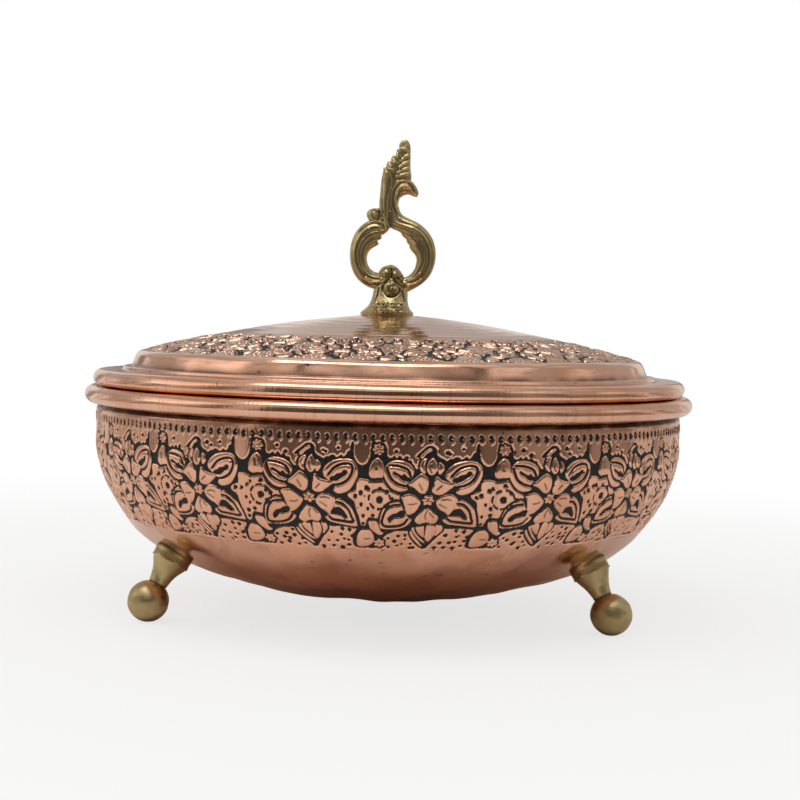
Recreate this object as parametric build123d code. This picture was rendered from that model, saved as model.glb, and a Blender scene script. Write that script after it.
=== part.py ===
"""Lidded copper candy dish on three brass ball feet, in millimetres.

+Z is up and the table is z = 0. The bowl's axis is the Z axis and the front of the dish faces -Y.
Every round sheet piece is one outline in the XZ plane, drawn along one face of the sheet,
thickened to the sheet's gauge and turned about Z.
"""
from build123d import *
import os
from math import acos, asin, atan2, cos, degrees, radians, sin, sqrt, tan

# Copper sheet and the wires inside the two rolled rims
bowl_sheet = 0.8
lid_sheet = 0.8
bowl_wire_d = 3.8
lid_wire_d = 3.8
wire_clearance = 0.05
curl_gap_angle = 8.0

# Bowl: over the rolled rim, then three arcs from the wall down to the flat of the bottom
rim_d = 200.0
wall_inside_rim = 3.8
bottom_clearance = 6.0
straight_wall = 13.6
wall_turn_radius = 34.0
side_turn_radius = 50.5
base_turn_radius = 134.0
wall_turn_end = 22.0
side_turn_end = 68.0
neck_drop = 3.4
neck_slope = 1.6
neck_fillet = 1.2

# Lid: over the rolled rim, then the flange, a small step, the riser, and the shallow dome
lid_inset = 2.6
seat_gap = 0.3
step_width = 2.4
step_height = 1.1
step_draft = 0.5
step_fillet = 0.5
flange_width = 6.5
riser_height = 4.8
riser_lean = 22.0
shoulder_fillet = 5.0
dome_height = 13.5
dome_bulge = 1.6
landing_r = 9.0

# Feet: brass castings, each a collar, a taper and a ball with a small filed flat
foot_count = 3
foot_inset = 25.0
foot_tilt = 30.0
collar_r = 6.1
collar_height = 2.8
collar_step = 0.3
collar_root = 3.0
groove_count = 3
groove_width = 0.4
groove_depth = 0.3
taper_hollow = 0.5
foot_neck_r = 2.9
ball_r = 6.5
ball_flat_r = 1.5

# Slotted M4 screws and their washers
screw_r = 2.0
screw_head_r = 3.5
screw_head_height = 2.2
screw_head_fillet = 0.8
slot_width = 1.0
slot_depth = 1.0
foot_screw_length = 9.0
finial_screw_length = 12.0
washer_r = 4.5
washer_thickness = 0.8
washer_bore_clearance = 0.15
sheet_hole_clearance = 0.2
thread_clearance = 0.04
hole_end_room = 1.0

# Finial: cast brass, a boss, two scrolled arms round a finger loop, a leaf and its hooked scroll.
# Points of the finger hole run round it from the loop's middle, points of the leaf from its root.
boss_foot_r = 8.5
boss_foot_edge = 0.8
boss_flare = 0.7
boss_waist_r = 5.9
boss_waist_height = 6.4
boss_waist_length = 1.0
boss_top_height = 11.0
boss_crown = 1.0
loop_centre_x = 0.2
loop_lift = 7.4
loop_half_width = 14.2
loop_half_height = 12.2
loop_depth = 6.2
loop_fillet = 1.7
loop_floor_r = 5.2
loop_floor_rise = 4.3
hole_top = (0.5, 8.2)
hole_left = [(-3.6, 6.4), (-5.6, 3.6), (-7.7, 0.8), (-8.2, -1.8), (-7.2, -4.2), (-5.2, -5.1)]
hole_floor = (-0.4, -5.6)
hole_right = [(5.0, -6.0), (7.1, -4.4), (8.1, -1.8), (7.7, 0.6), (5.7, 3.2), (3.4, 6.0)]
knob_r = 2.0
knob_angle = 117.0
leaf_sink = 2.65
leaf_height = 29.25
leaf_root_depth = 5.4
leaf_tip_depth = 1.6
leaf_root_left = -4.4
leaf_root_right = 1.9
leaf_side_left = (-4.7, 10.0)
leaf_shoulder = (-3.4, 18.8)
leaf_nape = (-0.4, 23.9)
leaf_side_right = (5.7, 22.35)
leaf_throat = (5.7, 16.05)
leaf_tip_left = 2.7
leaf_tip_right = 4.3
hook_start = (-1.1, 8.5)
hook_crest = [(-0.9, 12.0), (0.7, 15.0), (3.7, 16.2), (6.7, 14.8), (8.3, 11.6)]
hook_tip = (8.1, 10.4)
hook_under = [(6.4, 10.8), (4.4, 11.0), (2.4, 9.9), (1.8, 7.6), (2.3, 5.4), (4.6, 3.2)]
hook_root = (-0.6, 2.0)
hook_depth = 5.4

# Rims, wall and lid seat worked out from the sizes above
rim_r = rim_d / 2
bowl_wire_bed = bowl_wire_d / 2 + wire_clearance
bowl_bead_r = bowl_wire_bed + bowl_sheet
bowl_bead_centre_r = rim_r - bowl_bead_r
neck_r = bowl_bead_centre_r - bowl_wire_bed
wall_r = rim_r - wall_inside_rim
lid_wire_bed = lid_wire_d / 2 + wire_clearance
lid_bead_r = lid_wire_bed + lid_sheet
lid_bead_centre_r = rim_r - lid_inset - lid_bead_r
bead_reach = bowl_bead_r + lid_bead_r + seat_gap
bead_rise = sqrt(bead_reach ** 2 - (bowl_bead_centre_r - lid_bead_centre_r) ** 2)

# Centres of the three arcs of the bowl's outer face, and its heights
base_arc_z = bottom_clearance + base_turn_radius
side_arc_z = base_arc_z - (base_turn_radius - side_turn_radius) * sin(radians(side_turn_end))
wall_arc_z = side_arc_z - (side_turn_radius - wall_turn_radius) * sin(radians(wall_turn_end))
wall_arc_r = wall_r - wall_turn_radius
side_arc_r = wall_arc_r - (side_turn_radius - wall_turn_radius) * cos(radians(wall_turn_end))
base_arc_r = side_arc_r - (base_turn_radius - side_turn_radius) * cos(radians(side_turn_end))
rim_z = wall_arc_z + straight_wall
lid_bead_z = rim_z + bead_rise

# Heights and radii of the lid's outer face
flange_z = lid_bead_z + lid_bead_r
step_top_z = flange_z + step_height
step_outer_r = lid_bead_centre_r - flange_width
riser_foot_r = step_outer_r - step_draft - step_width
riser_top_z = step_top_z + riser_height
riser_top_r = riser_foot_r - riser_height * tan(radians(riser_lean))
landing_z = riser_top_z + dome_height

# Heights of the finial's parts over its foot
loop_centre_height = loop_lift + loop_half_height
leaf_root_height = loop_centre_height + loop_half_height - leaf_sink
finial_height = leaf_root_height + leaf_height

# Screw seats
sheet_hole_r = screw_r + sheet_hole_clearance
washer_bore_r = screw_r + washer_bore_clearance
tapped_r = screw_r + thread_clearance
ball_centre_z = sqrt(ball_r ** 2 - ball_flat_r ** 2)
foot_mount_r = rim_r - foot_inset


def turned(profile):
    """The solid swept by a face drawn as (radius, height) turned once about Z."""
    return revolve(Plane.XZ * profile, Axis.Z, 360)


def rounded(outline, corner, radius):
    """The outline with the corner nearest to the given point rounded off."""
    vertices = outline.vertices()
    nearest = min(vertices, key=lambda v: (v.X - corner[0]) ** 2 + (v.Y - corner[1]) ** 2)
    return outline.fillet_2d(radius, [nearest])


def curl(centre, bed_r, sheet, start, sweep):
    """Section of the sheet where it is rolled round a rim wire, from one angle through another."""
    outer = CenterArc(centre, bed_r + sheet, start, sweep)
    inner = CenterArc(centre, bed_r, start, sweep)
    first = Line(outer @ 0, inner @ 0)
    last = Line(outer @ 1, inner @ 1)
    return make_face([outer, first, inner, last])


def curl_sweep(bed_r, sheet):
    """Degrees that a rim's sheet turns before its edge meets the sheet again."""
    meeting = degrees(acos(bed_r / (bed_r + sheet)))
    return 360 - meeting - curl_gap_angle


def wire_ring(centre_r, centre_z, wire_d):
    """The round wire that stiffens a rolled rim."""
    return turned(Pos(centre_r, centre_z) * Circle(wire_d / 2))


def bowl_wall_outline():
    """The bowl's outer face from the axis to the rim bead, as (radius, height)."""
    neck_low_z = rim_z - neck_drop - neck_slope
    neck_high_z = rim_z - neck_drop
    lines = [
        Line((0, bottom_clearance), (base_arc_r, bottom_clearance)),
        CenterArc((base_arc_r, base_arc_z), base_turn_radius, -90, 90 - side_turn_end),
        CenterArc((side_arc_r, side_arc_z), side_turn_radius, -side_turn_end, side_turn_end - wall_turn_end),
        CenterArc((wall_arc_r, wall_arc_z), wall_turn_radius, -wall_turn_end, wall_turn_end),
        Line((wall_r, wall_arc_z), (wall_r, neck_low_z)),
        Line((wall_r, neck_low_z), (neck_r, neck_high_z)),
        Line((neck_r, neck_high_z), (neck_r, rim_z)),
    ]
    outline = rounded(Wire(lines), (wall_r, neck_low_z), neck_fillet)
    return rounded(outline, (neck_r, neck_high_z), neck_fillet)


def bowl_underside_z(radius):
    """Height of the bowl's outer face at a radius on its bottom or its turned side."""
    side_start_r = side_arc_r + side_turn_radius * cos(radians(side_turn_end))
    if radius < base_arc_r:
        return bottom_clearance
    if radius < side_start_r:
        return base_arc_z - sqrt(base_turn_radius ** 2 - (radius - base_arc_r) ** 2)
    return side_arc_z - sqrt(side_turn_radius ** 2 - (radius - side_arc_r) ** 2)


def filled_bowl():
    """The whole space inside the bowl's outer face, up to the rim bead's centre."""
    outline = bowl_wall_outline()
    closing = [Line((neck_r, rim_z), (0, rim_z)), Line((0, rim_z), (0, bottom_clearance))]
    return turned(make_face(outline.edges() + closing))


foot_mount_z = bowl_underside_z(foot_mount_r)
foot_length = (foot_mount_z - ball_centre_z) / cos(radians(foot_tilt))
ball_circle_r = foot_mount_r + foot_length * sin(radians(foot_tilt))
mount_slope = degrees(asin((side_arc_z - foot_mount_z) / side_turn_radius))
seat_error = abs(90 - mount_slope - foot_tilt)


def foot_azimuths():
    """Two feet stand at the front, 60 degrees either side of -Y, and one at the back."""
    return [90 + 360 / foot_count * i for i in range(foot_count)]


def foot_plane(azimuth):
    """Frame of one foot: origin on the bowl's outer face, +Z down and outward along the foot."""
    a = radians(azimuth)
    t = radians(foot_tilt)
    origin = (foot_mount_r * cos(a), foot_mount_r * sin(a), foot_mount_z)
    along = (sin(t) * cos(a), sin(t) * sin(a), -cos(t))
    return Plane(origin=origin, x_dir=(-sin(a), cos(a), 0), z_dir=along)


def make_bowl():
    """Sheet copper bowl with its rim rolled outward and a screw hole over each foot."""
    sheet = Face(bowl_wall_outline().offset_2d(bowl_sheet, side=Side.LEFT))
    bead = curl((bowl_bead_centre_r, rim_z), bowl_wire_bed, bowl_sheet, 180, -curl_sweep(bowl_wire_bed, bowl_sheet))
    bowl = turned(sheet) + turned(bead)
    hole = Cylinder(sheet_hole_r, 6 * bowl_sheet)
    for azimuth in foot_azimuths():
        bowl -= foot_plane(azimuth) * hole
    return bowl


def lid_outline():
    """The lid's outer face from the axis to the rim bead's top, as (radius, height)."""
    step_inner = (step_outer_r - step_draft, step_top_z)
    riser_foot = (riser_foot_r, step_top_z)
    riser_top = (riser_top_r, riser_top_z)
    flange_edge = (step_outer_r, flange_z)
    lines = [
        Line((0, landing_z), (landing_r, landing_z)),
        SagittaArc((landing_r, landing_z), riser_top, dome_bulge),
        Line(riser_top, riser_foot),
        Line(riser_foot, step_inner),
        Line(step_inner, flange_edge),
        Line(flange_edge, (lid_bead_centre_r, flange_z)),
    ]
    outline = rounded(Wire(lines), riser_top, shoulder_fillet)
    outline = rounded(outline, riser_foot, step_fillet)
    outline = rounded(outline, step_inner, step_fillet)
    return rounded(outline, flange_edge, step_fillet)


def make_lid():
    """Sheet copper lid with its rim rolled under and a screw hole for the finial."""
    sheet = Face(lid_outline().offset_2d(lid_sheet, kind=Kind.INTERSECTION, side=Side.RIGHT))
    bead = curl((lid_bead_centre_r, lid_bead_z), lid_wire_bed, lid_sheet, 90, -curl_sweep(lid_wire_bed, lid_sheet))
    lid = turned(sheet) + turned(bead)
    return lid - Pos(0, 0, landing_z) * Cylinder(sheet_hole_r, 6 * lid_sheet)


def foot_profile():
    """Half section of one foot as (radius, distance along the foot from the bowl's face)."""
    ball_start = foot_length - sqrt(ball_r ** 2 - foot_neck_r ** 2)
    pitch = collar_height / (groove_count + 1)
    points = [(0, -collar_root), (collar_r, -collar_root)]
    for i in range(groove_count):
        middle = pitch * (i + 1)
        points.append((collar_r, middle - groove_width / 2))
        points.append((collar_r - groove_depth, middle))
        points.append((collar_r, middle + groove_width / 2))
    points.append((collar_r, collar_height))
    points.append((collar_r - collar_step, collar_height))
    taper = SagittaArc((collar_r - collar_step, collar_height), (foot_neck_r, ball_start), taper_hollow)
    side_angle = degrees(atan2(ball_start - foot_length, foot_neck_r))
    ball = CenterArc((0, foot_length), ball_r, side_angle, 90 - side_angle)
    axis = Line((0, foot_length + ball_r), (0, -collar_root))
    return make_face(Polyline(*points).edges() + [taper, ball, axis])


def make_foot(azimuth, bowl_fill):
    """One cast foot, seated on the bowl, tapped from above and filed flat where it stands."""
    depth = foot_screw_length - bowl_sheet - washer_thickness - head_room() + hole_end_room
    foot = turned(foot_profile())
    foot -= Pos(0, 0, depth / 2) * Cylinder(tapped_r, depth)
    foot -= Pos(0, 0, -collar_root / 2) * Cylinder(tapped_r, collar_root)
    foot = foot_plane(azimuth) * foot
    below_table = Pos(0, 0, -ball_r) * Box(4 * rim_r, 4 * rim_r, 2 * ball_r)
    return (foot - bowl_fill - below_table).solids().sort_by(Axis.Z)[0]


def head_room():
    """How far a flat screw head stands off the middle of the curved washer under it."""
    curve = side_turn_radius - bowl_sheet - washer_thickness
    sag = screw_head_r ** 2 / (2 * curve)
    return sag + screw_head_r * tan(radians(seat_error))


def screw(length):
    """Slotted screw along +Z from the underside of its head, with the head below."""
    head = Pos(0, 0, -screw_head_height / 2) * Cylinder(screw_head_r, screw_head_height)
    head = fillet(head.edges().group_by(Axis.Z)[0], screw_head_fillet)
    shank = Pos(0, 0, length / 2) * Cylinder(screw_r, length)
    slot = Box(4 * screw_head_r, slot_width, slot_depth, align=(Align.CENTER, Align.CENTER, Align.MIN))
    return head + shank - Pos(0, 0, -screw_head_height) * slot


def foot_screw(azimuth):
    """Screw through the bowl's bottom into one foot."""
    offset = bowl_sheet + washer_thickness + head_room()
    return foot_plane(azimuth) * Pos(0, 0, -offset) * screw(foot_screw_length)


def sheet_liner(inset):
    """The space inside the bowl that starts a set distance in from its outer face."""
    outline = bowl_wall_outline().offset_2d(inset, side=Side.LEFT, closed=False)
    points = sorted([outline @ 0, outline @ 1], key=lambda p: p.X)
    foot_of_axis = (0, points[0].Y)
    top = points[1]
    closing = [Line(top, (0, top.Y)), Line((0, top.Y), foot_of_axis)]
    return turned(make_face(outline.edges() + closing))


def make_foot_washers():
    """Soft washers pressed to the curve of the bowl's inner face, one over each foot."""
    layer = sheet_liner(bowl_sheet) - sheet_liner(bowl_sheet + washer_thickness)
    reach = 6 * (bowl_sheet + washer_thickness)
    blank = Cylinder(washer_r, reach) - Cylinder(washer_bore_r, reach)
    return [(layer & (foot_plane(a) * blank)).solids().sort_by(Axis.Z)[0] for a in foot_azimuths()]


def boss():
    """Flared foot of the finial with a narrow waist and a rounded top."""
    waist_top = boss_waist_height + boss_waist_length
    rim_line = Polyline((0, 0), (boss_foot_r, 0), (boss_foot_r, boss_foot_edge))
    flare = SagittaArc((boss_foot_r, boss_foot_edge), (boss_waist_r, boss_waist_height), boss_flare)
    waist = Line((boss_waist_r, boss_waist_height), (boss_waist_r, waist_top))
    crown = SagittaArc((boss_waist_r, waist_top), (0, boss_top_height), -boss_crown)
    axis = Line((0, boss_top_height), (0, 0))
    return turned(make_face(rim_line.edges() + [flare, waist, crown, axis]))


def finger_loop():
    """The two scrolled arms round their heart-shaped finger hole, the rise at its floor, and the berry."""
    hole = Spline(hole_top, *hole_left, hole_floor, *hole_right, periodic=True)
    outline = Ellipse(loop_half_width, loop_half_height) - make_face(hole)
    plate = extrude(Plane.XZ * outline, amount=loop_depth / 2, both=True)
    sides = plate.faces().sort_by(Axis.Y)
    arms = fillet(sides[0].edges() + sides[-1].edges(), loop_fillet)
    floor = Pos(0, 0, loop_floor_rise - loop_half_height) * Sphere(loop_floor_r)
    turn = radians(knob_angle)
    berry = Pos((loop_half_width + knob_r) * cos(turn), 0, (loop_half_height + knob_r / 4) * sin(turn))
    return Pos(loop_centre_x, 0, loop_centre_height) * (arms + floor + berry * Sphere(knob_r))


def leaf():
    """The standing leaf: its outline in the XZ plane, cut to a wedge that is thin at the tip."""
    root_left = (leaf_root_left, 0)
    root_right = (leaf_root_right, 0)
    tip_left = (leaf_tip_left, leaf_height)
    tip_right = (leaf_tip_right, leaf_height)
    outline = [
        Line(root_right, root_left),
        ThreePointArc(root_left, leaf_side_left, leaf_shoulder),
        ThreePointArc(leaf_shoulder, leaf_nape, tip_left),
        Line(tip_left, tip_right),
        ThreePointArc(tip_right, leaf_side_right, leaf_throat),
        Line(leaf_throat, root_right),
    ]
    blade = extrude(Plane.XZ * make_face(outline), amount=leaf_root_depth, both=True)
    root = leaf_root_depth / 2
    tip = leaf_tip_depth / 2
    side = Polyline((-root, 0), (root, 0), (tip, leaf_height), (-tip, leaf_height), close=True)
    wedge = extrude(Plane.YZ * make_face(side), amount=leaf_height, both=True)
    return Pos(0, 0, leaf_root_height) * (blade & wedge)


def hooked_scroll():
    """The scroll that climbs the leaf's right side from the loop and curls over into a hook."""
    crest = Spline(hook_start, *hook_crest, hook_tip)
    under = Spline(hook_tip, *hook_under)
    root = Polyline(hook_under[-1], hook_root, hook_start)
    outline = make_face([crest, under] + root.edges())
    return Pos(0, 0, leaf_root_height) * extrude(Plane.XZ * outline, amount=hook_depth / 2, both=True)


def make_finial():
    """Cast brass finial, tapped from below for its screw."""
    depth = finial_screw_length - lid_sheet - washer_thickness + hole_end_room
    body = boss() + finger_loop() + leaf() + hooked_scroll()
    body -= Pos(0, 0, depth / 2) * Cylinder(tapped_r, depth)
    return Pos(0, 0, landing_z) * body


def make_finial_fixing():
    """The screw up through the lid into the finial, and the flat washer under its head."""
    washer_z = landing_z - lid_sheet - washer_thickness
    ring = Cylinder(washer_r, washer_thickness) - Cylinder(washer_bore_r, washer_thickness)
    washer = Pos(0, 0, washer_z + washer_thickness / 2) * ring
    return Pos(0, 0, washer_z) * screw(finial_screw_length), washer


def build_parts():
    """Every node of the dish by name, each a list of its solids."""
    bowl_fill = filled_bowl()
    back, left, right = foot_azimuths()
    finial_screw, finial_washer = make_finial_fixing()
    return {
        "bowl": [make_bowl()],
        "bowl_rim_wire": [wire_ring(bowl_bead_centre_r, rim_z, bowl_wire_d)],
        "lid": [make_lid()],
        "lid_rim_wire": [wire_ring(lid_bead_centre_r, lid_bead_z, lid_wire_d)],
        "finial": [make_finial()],
        "finial_screw": [finial_screw],
        "finial_washer": [finial_washer],
        "foot_left": [make_foot(left, bowl_fill)],
        "foot_right": [make_foot(right, bowl_fill)],
        "foot_back": [make_foot(back, bowl_fill)],
        "foot_screws": [foot_screw(a) for a in foot_azimuths()],
        "foot_washers": make_foot_washers(),
    }


def main():
    os.makedirs("parts", exist_ok=True)
    for name, solids in build_parts().items():
        shape = solids[0] if len(solids) == 1 else Compound(children=solids)
        export_step(shape, f"parts/{name}.step")
    print("rim height", round(rim_z, 3), "lid bead height", round(lid_bead_z, 3))
    print("landing", round(landing_z, 3), "overall height", round(landing_z + finial_height, 3))
    print("foot mount height", round(foot_mount_z, 3), "foot length", round(foot_length, 3))
    print("ball circle radius", round(ball_circle_r, 3), "seat error", round(seat_error, 2))


main()
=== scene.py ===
"""The candy dish dressed for its picture: chased copper bowl and lid, cast brass feet and handle.

Lengths in the tables of this script are millimetres and become metres where a mesh is made.
Turned pieces are one outline of (radius, height) carried round Z. The chased bands are relief
worked out from the signed distance to the outlines of petals, leaves, buds and dots.
"""
from math import acos, atan2, cos, degrees, pi, radians, sin, sqrt, tan

import bpy
import numpy as np
from mathutils import Matrix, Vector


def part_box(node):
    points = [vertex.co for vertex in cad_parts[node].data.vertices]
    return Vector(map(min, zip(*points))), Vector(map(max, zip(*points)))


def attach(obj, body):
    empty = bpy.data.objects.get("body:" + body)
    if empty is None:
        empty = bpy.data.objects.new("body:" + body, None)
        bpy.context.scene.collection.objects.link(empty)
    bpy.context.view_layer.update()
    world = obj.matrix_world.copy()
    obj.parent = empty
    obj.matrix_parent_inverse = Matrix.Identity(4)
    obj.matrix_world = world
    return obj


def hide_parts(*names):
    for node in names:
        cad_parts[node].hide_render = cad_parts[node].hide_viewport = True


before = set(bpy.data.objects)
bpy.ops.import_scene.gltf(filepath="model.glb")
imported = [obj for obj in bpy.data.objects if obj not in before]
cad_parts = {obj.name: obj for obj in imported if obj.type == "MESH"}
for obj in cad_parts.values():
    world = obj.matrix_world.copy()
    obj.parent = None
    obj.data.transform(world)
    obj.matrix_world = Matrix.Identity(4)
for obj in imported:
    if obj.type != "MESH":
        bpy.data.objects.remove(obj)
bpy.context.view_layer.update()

mm = 0.001

# The viewpoint of the photograph
view_distance = 540.0
view_elevation = 2.75
view_turn = 2.0
view_aim_height = 69.13
view_aside = 3.7
view_roll = 1.35
lens_length = 72.56
sensor_width = 36.0

# Sheet pieces, read from the frame where it holds them
rim_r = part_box("bowl")[1].x / mm
lid_rim_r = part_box("lid")[1].x / mm
landing_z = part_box("finial")[0].z / mm
sheet = 0.8
bead_r = 2.75
bowl_bottom_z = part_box("bowl")[0].z / mm
rim_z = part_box("bowl")[1].z / mm - bead_r
wall_r = rim_r - 3.8
neck_r = rim_r - 4.7
wall_turn_radius = 34.0
side_turn_radius = 50.5
base_turn_radius = 134.0
wall_turn_end = radians(22)
side_turn_end = radians(68)
lid_bead_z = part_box("lid")[0].z / mm + bead_r
step_width = 2.4
step_height = 1.1
flange_width = 6.5
riser_height = 4.8
riser_lean = radians(22)
dome_bulge = 1.6
landing_r = 9.0
columns_round = 400
all_round = np.arange(columns_round) * 2 * pi / columns_round
pole_r = 2.0

# Chased bands
band_seat = 0.62
band_skin = 0.02
bowl_band_depth = 0.42
bowl_band_top = 18.95
bowl_band_bottom = -17.6
bowl_band_rows, bowl_band_columns, bowl_band_back_rows = 147, 270, 14
bowl_cells = 18
bowl_cell_width = 2 * pi * wall_r / bowl_cells
bowl_first_flower = 7.37 + view_turn
bowl_flower_drift = (
    0, 2.5, 2.8, 2.2, 1.7, 1.2, 0.8, 0.4, 0, -0.2, -0.4, -0.5, -0.6, -0.7, -0.9, -1.1, -2, -0.2,
)
cells_per_sector = 2
lid_cells = 16
lid_band_depth = 0.5
lid_flower_r = 68.0
lid_band_inner_r = 53.2
lid_band_outer_r = 82.0
lid_band_rows, lid_band_columns, lid_band_back_rows = 114, 214, 9
lid_first_flower = -10.4 + view_turn


def wander(points, size, seed, waves=14):
    """Smooth random field of about unit spread: the mean of sine waves in random directions.
    Each wave is sin(k.p + phase), with lengths between 0.7 and 1.6 times the size."""
    rng = np.random.default_rng(seed)
    aim = rng.normal(size=(waves, 3))
    aim /= np.linalg.norm(aim, axis=1)[:, None]
    aim *= (2 * pi / (size * rng.uniform(0.7, 1.6, waves)))[:, None]
    phase = rng.uniform(0, 2 * pi, waves)
    total = np.zeros(points.shape[:-1])
    for k, start in zip(aim, phase):
        total += np.sin(points @ k + start)
    return total * sqrt(2 / waves)


def ease(low, high, x):
    """Smooth step from 0 at low to 1 at high: 3t^2 - 2t^3."""
    t = np.clip((x - low) / (high - low), 0, 1)
    return t * t * (3 - 2 * t)


def mound(x, width):
    """A bell of height 1: exp(-(x / width)^2)."""
    return np.exp(-(x / width) ** 2)


def solid(name, points, faces, corners, materials, values=None, face_material=None, sharp=40.0):
    """Mesh of points in millimetres: faces are arrays of vertex numbers, corners their places on the bake
    map, values the numbers painted on its vertices."""
    mesh = bpy.data.meshes.new(name)
    mesh.vertices.add(len(points))
    mesh.vertices.foreach_set("co", (points * mm).astype(np.float32).ravel())
    loops = np.concatenate([f.ravel() for f in faces])
    sides = np.concatenate([np.full(len(f), f.shape[1]) for f in faces])
    mesh.loops.add(len(loops))
    mesh.loops.foreach_set("vertex_index", loops.astype(np.int32))
    mesh.polygons.add(len(sides))
    mesh.polygons.foreach_set("loop_start", (np.cumsum(sides) - sides).astype(np.int32))
    mesh.update(calc_edges=True)
    mesh.polygons.foreach_set("use_smooth", np.ones(len(sides), bool))
    bake_map = mesh.uv_layers.new(name="OFBake")
    bake_map.data.foreach_set("uv", np.concatenate([c.ravel() for c in corners]).astype(np.float32))
    for material in materials:
        mesh.materials.append(material)
    if face_material is not None:
        mesh.polygons.foreach_set("material_index", face_material.astype(np.int32))
    for key, painted in (values or {}).items():
        mesh.attributes.new(key, "FLOAT", "POINT").data.foreach_set("value", painted.astype(np.float32))
    mesh.set_sharp_from_angle(angle=radians(sharp))
    piece = bpy.data.objects.new(name, mesh)
    bpy.context.scene.collection.objects.link(piece)
    return piece


def grid_faces(rows, cols, first=0, around=False):
    """Quads of a grid of vertices and their bake map corners in 0 to 1. Seen from outside, columns run
    to the right and rows run up."""
    index = first + np.arange(rows * cols).reshape(rows, cols)
    right = np.roll(index, -1, 1) if around else index[:, 1:]
    left = index if around else index[:, :-1]
    quads = np.stack([left[:-1], right[:-1], right[1:], left[1:]], -1)
    u = np.linspace(0, 1, quads.shape[1] + 1)
    v = np.linspace(0, 1, quads.shape[0] + 1)
    low_u, low_v = np.meshgrid(u[:-1], v[:-1])
    high_u, high_v = np.meshgrid(u[1:], v[1:])
    corner_u = np.stack([low_u, high_u, high_u, low_u], -1)
    corner_v = np.stack([low_v, low_v, high_v, high_v], -1)
    return quads.reshape(-1, 4), np.stack([corner_u, corner_v], -1).reshape(-1, 4, 2)


def surface(name, points, materials, low_pole, high_pole, values, row_material=None, sharp=40.0):
    """Closed mesh round a grid of points (rows, columns, 3): its columns close on themselves, and its
    first and last rows each meet a pole."""
    rows, cols = points.shape[:2]
    quads, corners = grid_faces(rows, cols, around=True)
    faces, uvs = [quads], [corners]
    step = np.arange(cols)
    ahead = np.roll(step, -1)
    edge_u = np.linspace(0, 1, cols + 1)
    for tip, row, v in ((rows * cols, 0, 0.0), (rows * cols + 1, rows - 1, 1.0)):
        ring = row * cols + np.stack([step, ahead])
        across = np.stack([edge_u[:-1], edge_u[1:]])
        if v == 0:
            ring, across = ring[::-1], across[::-1]
        faces.append(np.stack([*ring, np.full(cols, tip)], -1))
        place_u = np.stack([*across, across.mean(0)], -1)
        uvs.append(np.stack([place_u, np.full((cols, 3), v)], -1))
    vertices = np.concatenate([points.reshape(-1, 3), np.array([low_pole, high_pole], float)])
    fields = {key: np.append(painted, [painted[0].mean(), painted[-1].mean()])
              for key, painted in values.items()}
    chosen = None
    if row_material is not None:
        per_row = [row_material[:-1], row_material[:1], row_material[-2:-1]]
        chosen = np.repeat(np.concatenate(per_row), cols)
    return solid(name, vertices, faces, uvs, materials, fields, chosen, sharp)


def shell_patch(name, outer, inner, values):
    """Closed thin patch of copper: a fine outer grid, an inner grid with fewer rows, and a wall round the
    edge. Each inner row stands behind its own outer row, so the side walls are a few flat faces."""
    rows, cols = outer.shape[:2]
    back_rows = inner.shape[0]
    held = held_rows(rows, back_rows)
    front, front_uv = grid_faces(rows, cols)
    front_uv = front_uv * (0.98, 0.90) + (0.01, 0.01)
    back, back_uv = grid_faces(back_rows, cols, first=rows * cols)
    back_uv = back_uv * (0.98, 0.04) + (0.01, 0.94)
    faces, uvs = [front, back[:, ::-1]], [front_uv, back_uv[:, ::-1]]
    face_of = np.arange(rows * cols).reshape(rows, cols)
    back_of = rows * cols + np.arange(back_rows * cols).reshape(back_rows, cols)
    walls = [np.stack([front_row[:-1], front_row[1:], back_row[1:], back_row[:-1]], -1)
             for front_row, back_row in ((face_of[0][::-1], back_of[0][::-1]), (face_of[-1], back_of[-1]))]
    for low, high in zip(range(back_rows - 1), range(1, back_rows)):
        edge = face_of[held[low]:held[high] + 1]
        walls.append(np.concatenate([edge[:, 0], [back_of[high, 0], back_of[low, 0]]])[None])
        walls.append(np.concatenate([edge[::-1, -1], [back_of[low, -1], back_of[high, -1]]])[None])
    wall_uv = np.array([0.01, 0.925])
    faces += walls
    uvs += [np.broadcast_to(wall_uv, (*wall.shape, 2)) for wall in walls]
    points = np.concatenate([outer.reshape(-1, 3), inner.reshape(-1, 3)])
    bare = np.full(inner[..., 0].size, -1.0)
    fields = {key: np.concatenate([painted.ravel(), bare]) for key, painted in values.items()}
    return solid(name, points, faces, uvs, [copper], fields, sharp=62)


def held_rows(rows, count):
    """The rows of a patch's face that its back keeps: evenly spread, with both ends."""
    return np.linspace(0, rows - 1, count).round().astype(int)


def dress(piece, body, slot, *nodes):
    """The piece rides on its body and stands for CAD nodes, which are hidden. The slot is not used."""
    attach(piece, body)
    if nodes:
        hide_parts(*nodes)
    return piece


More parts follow.
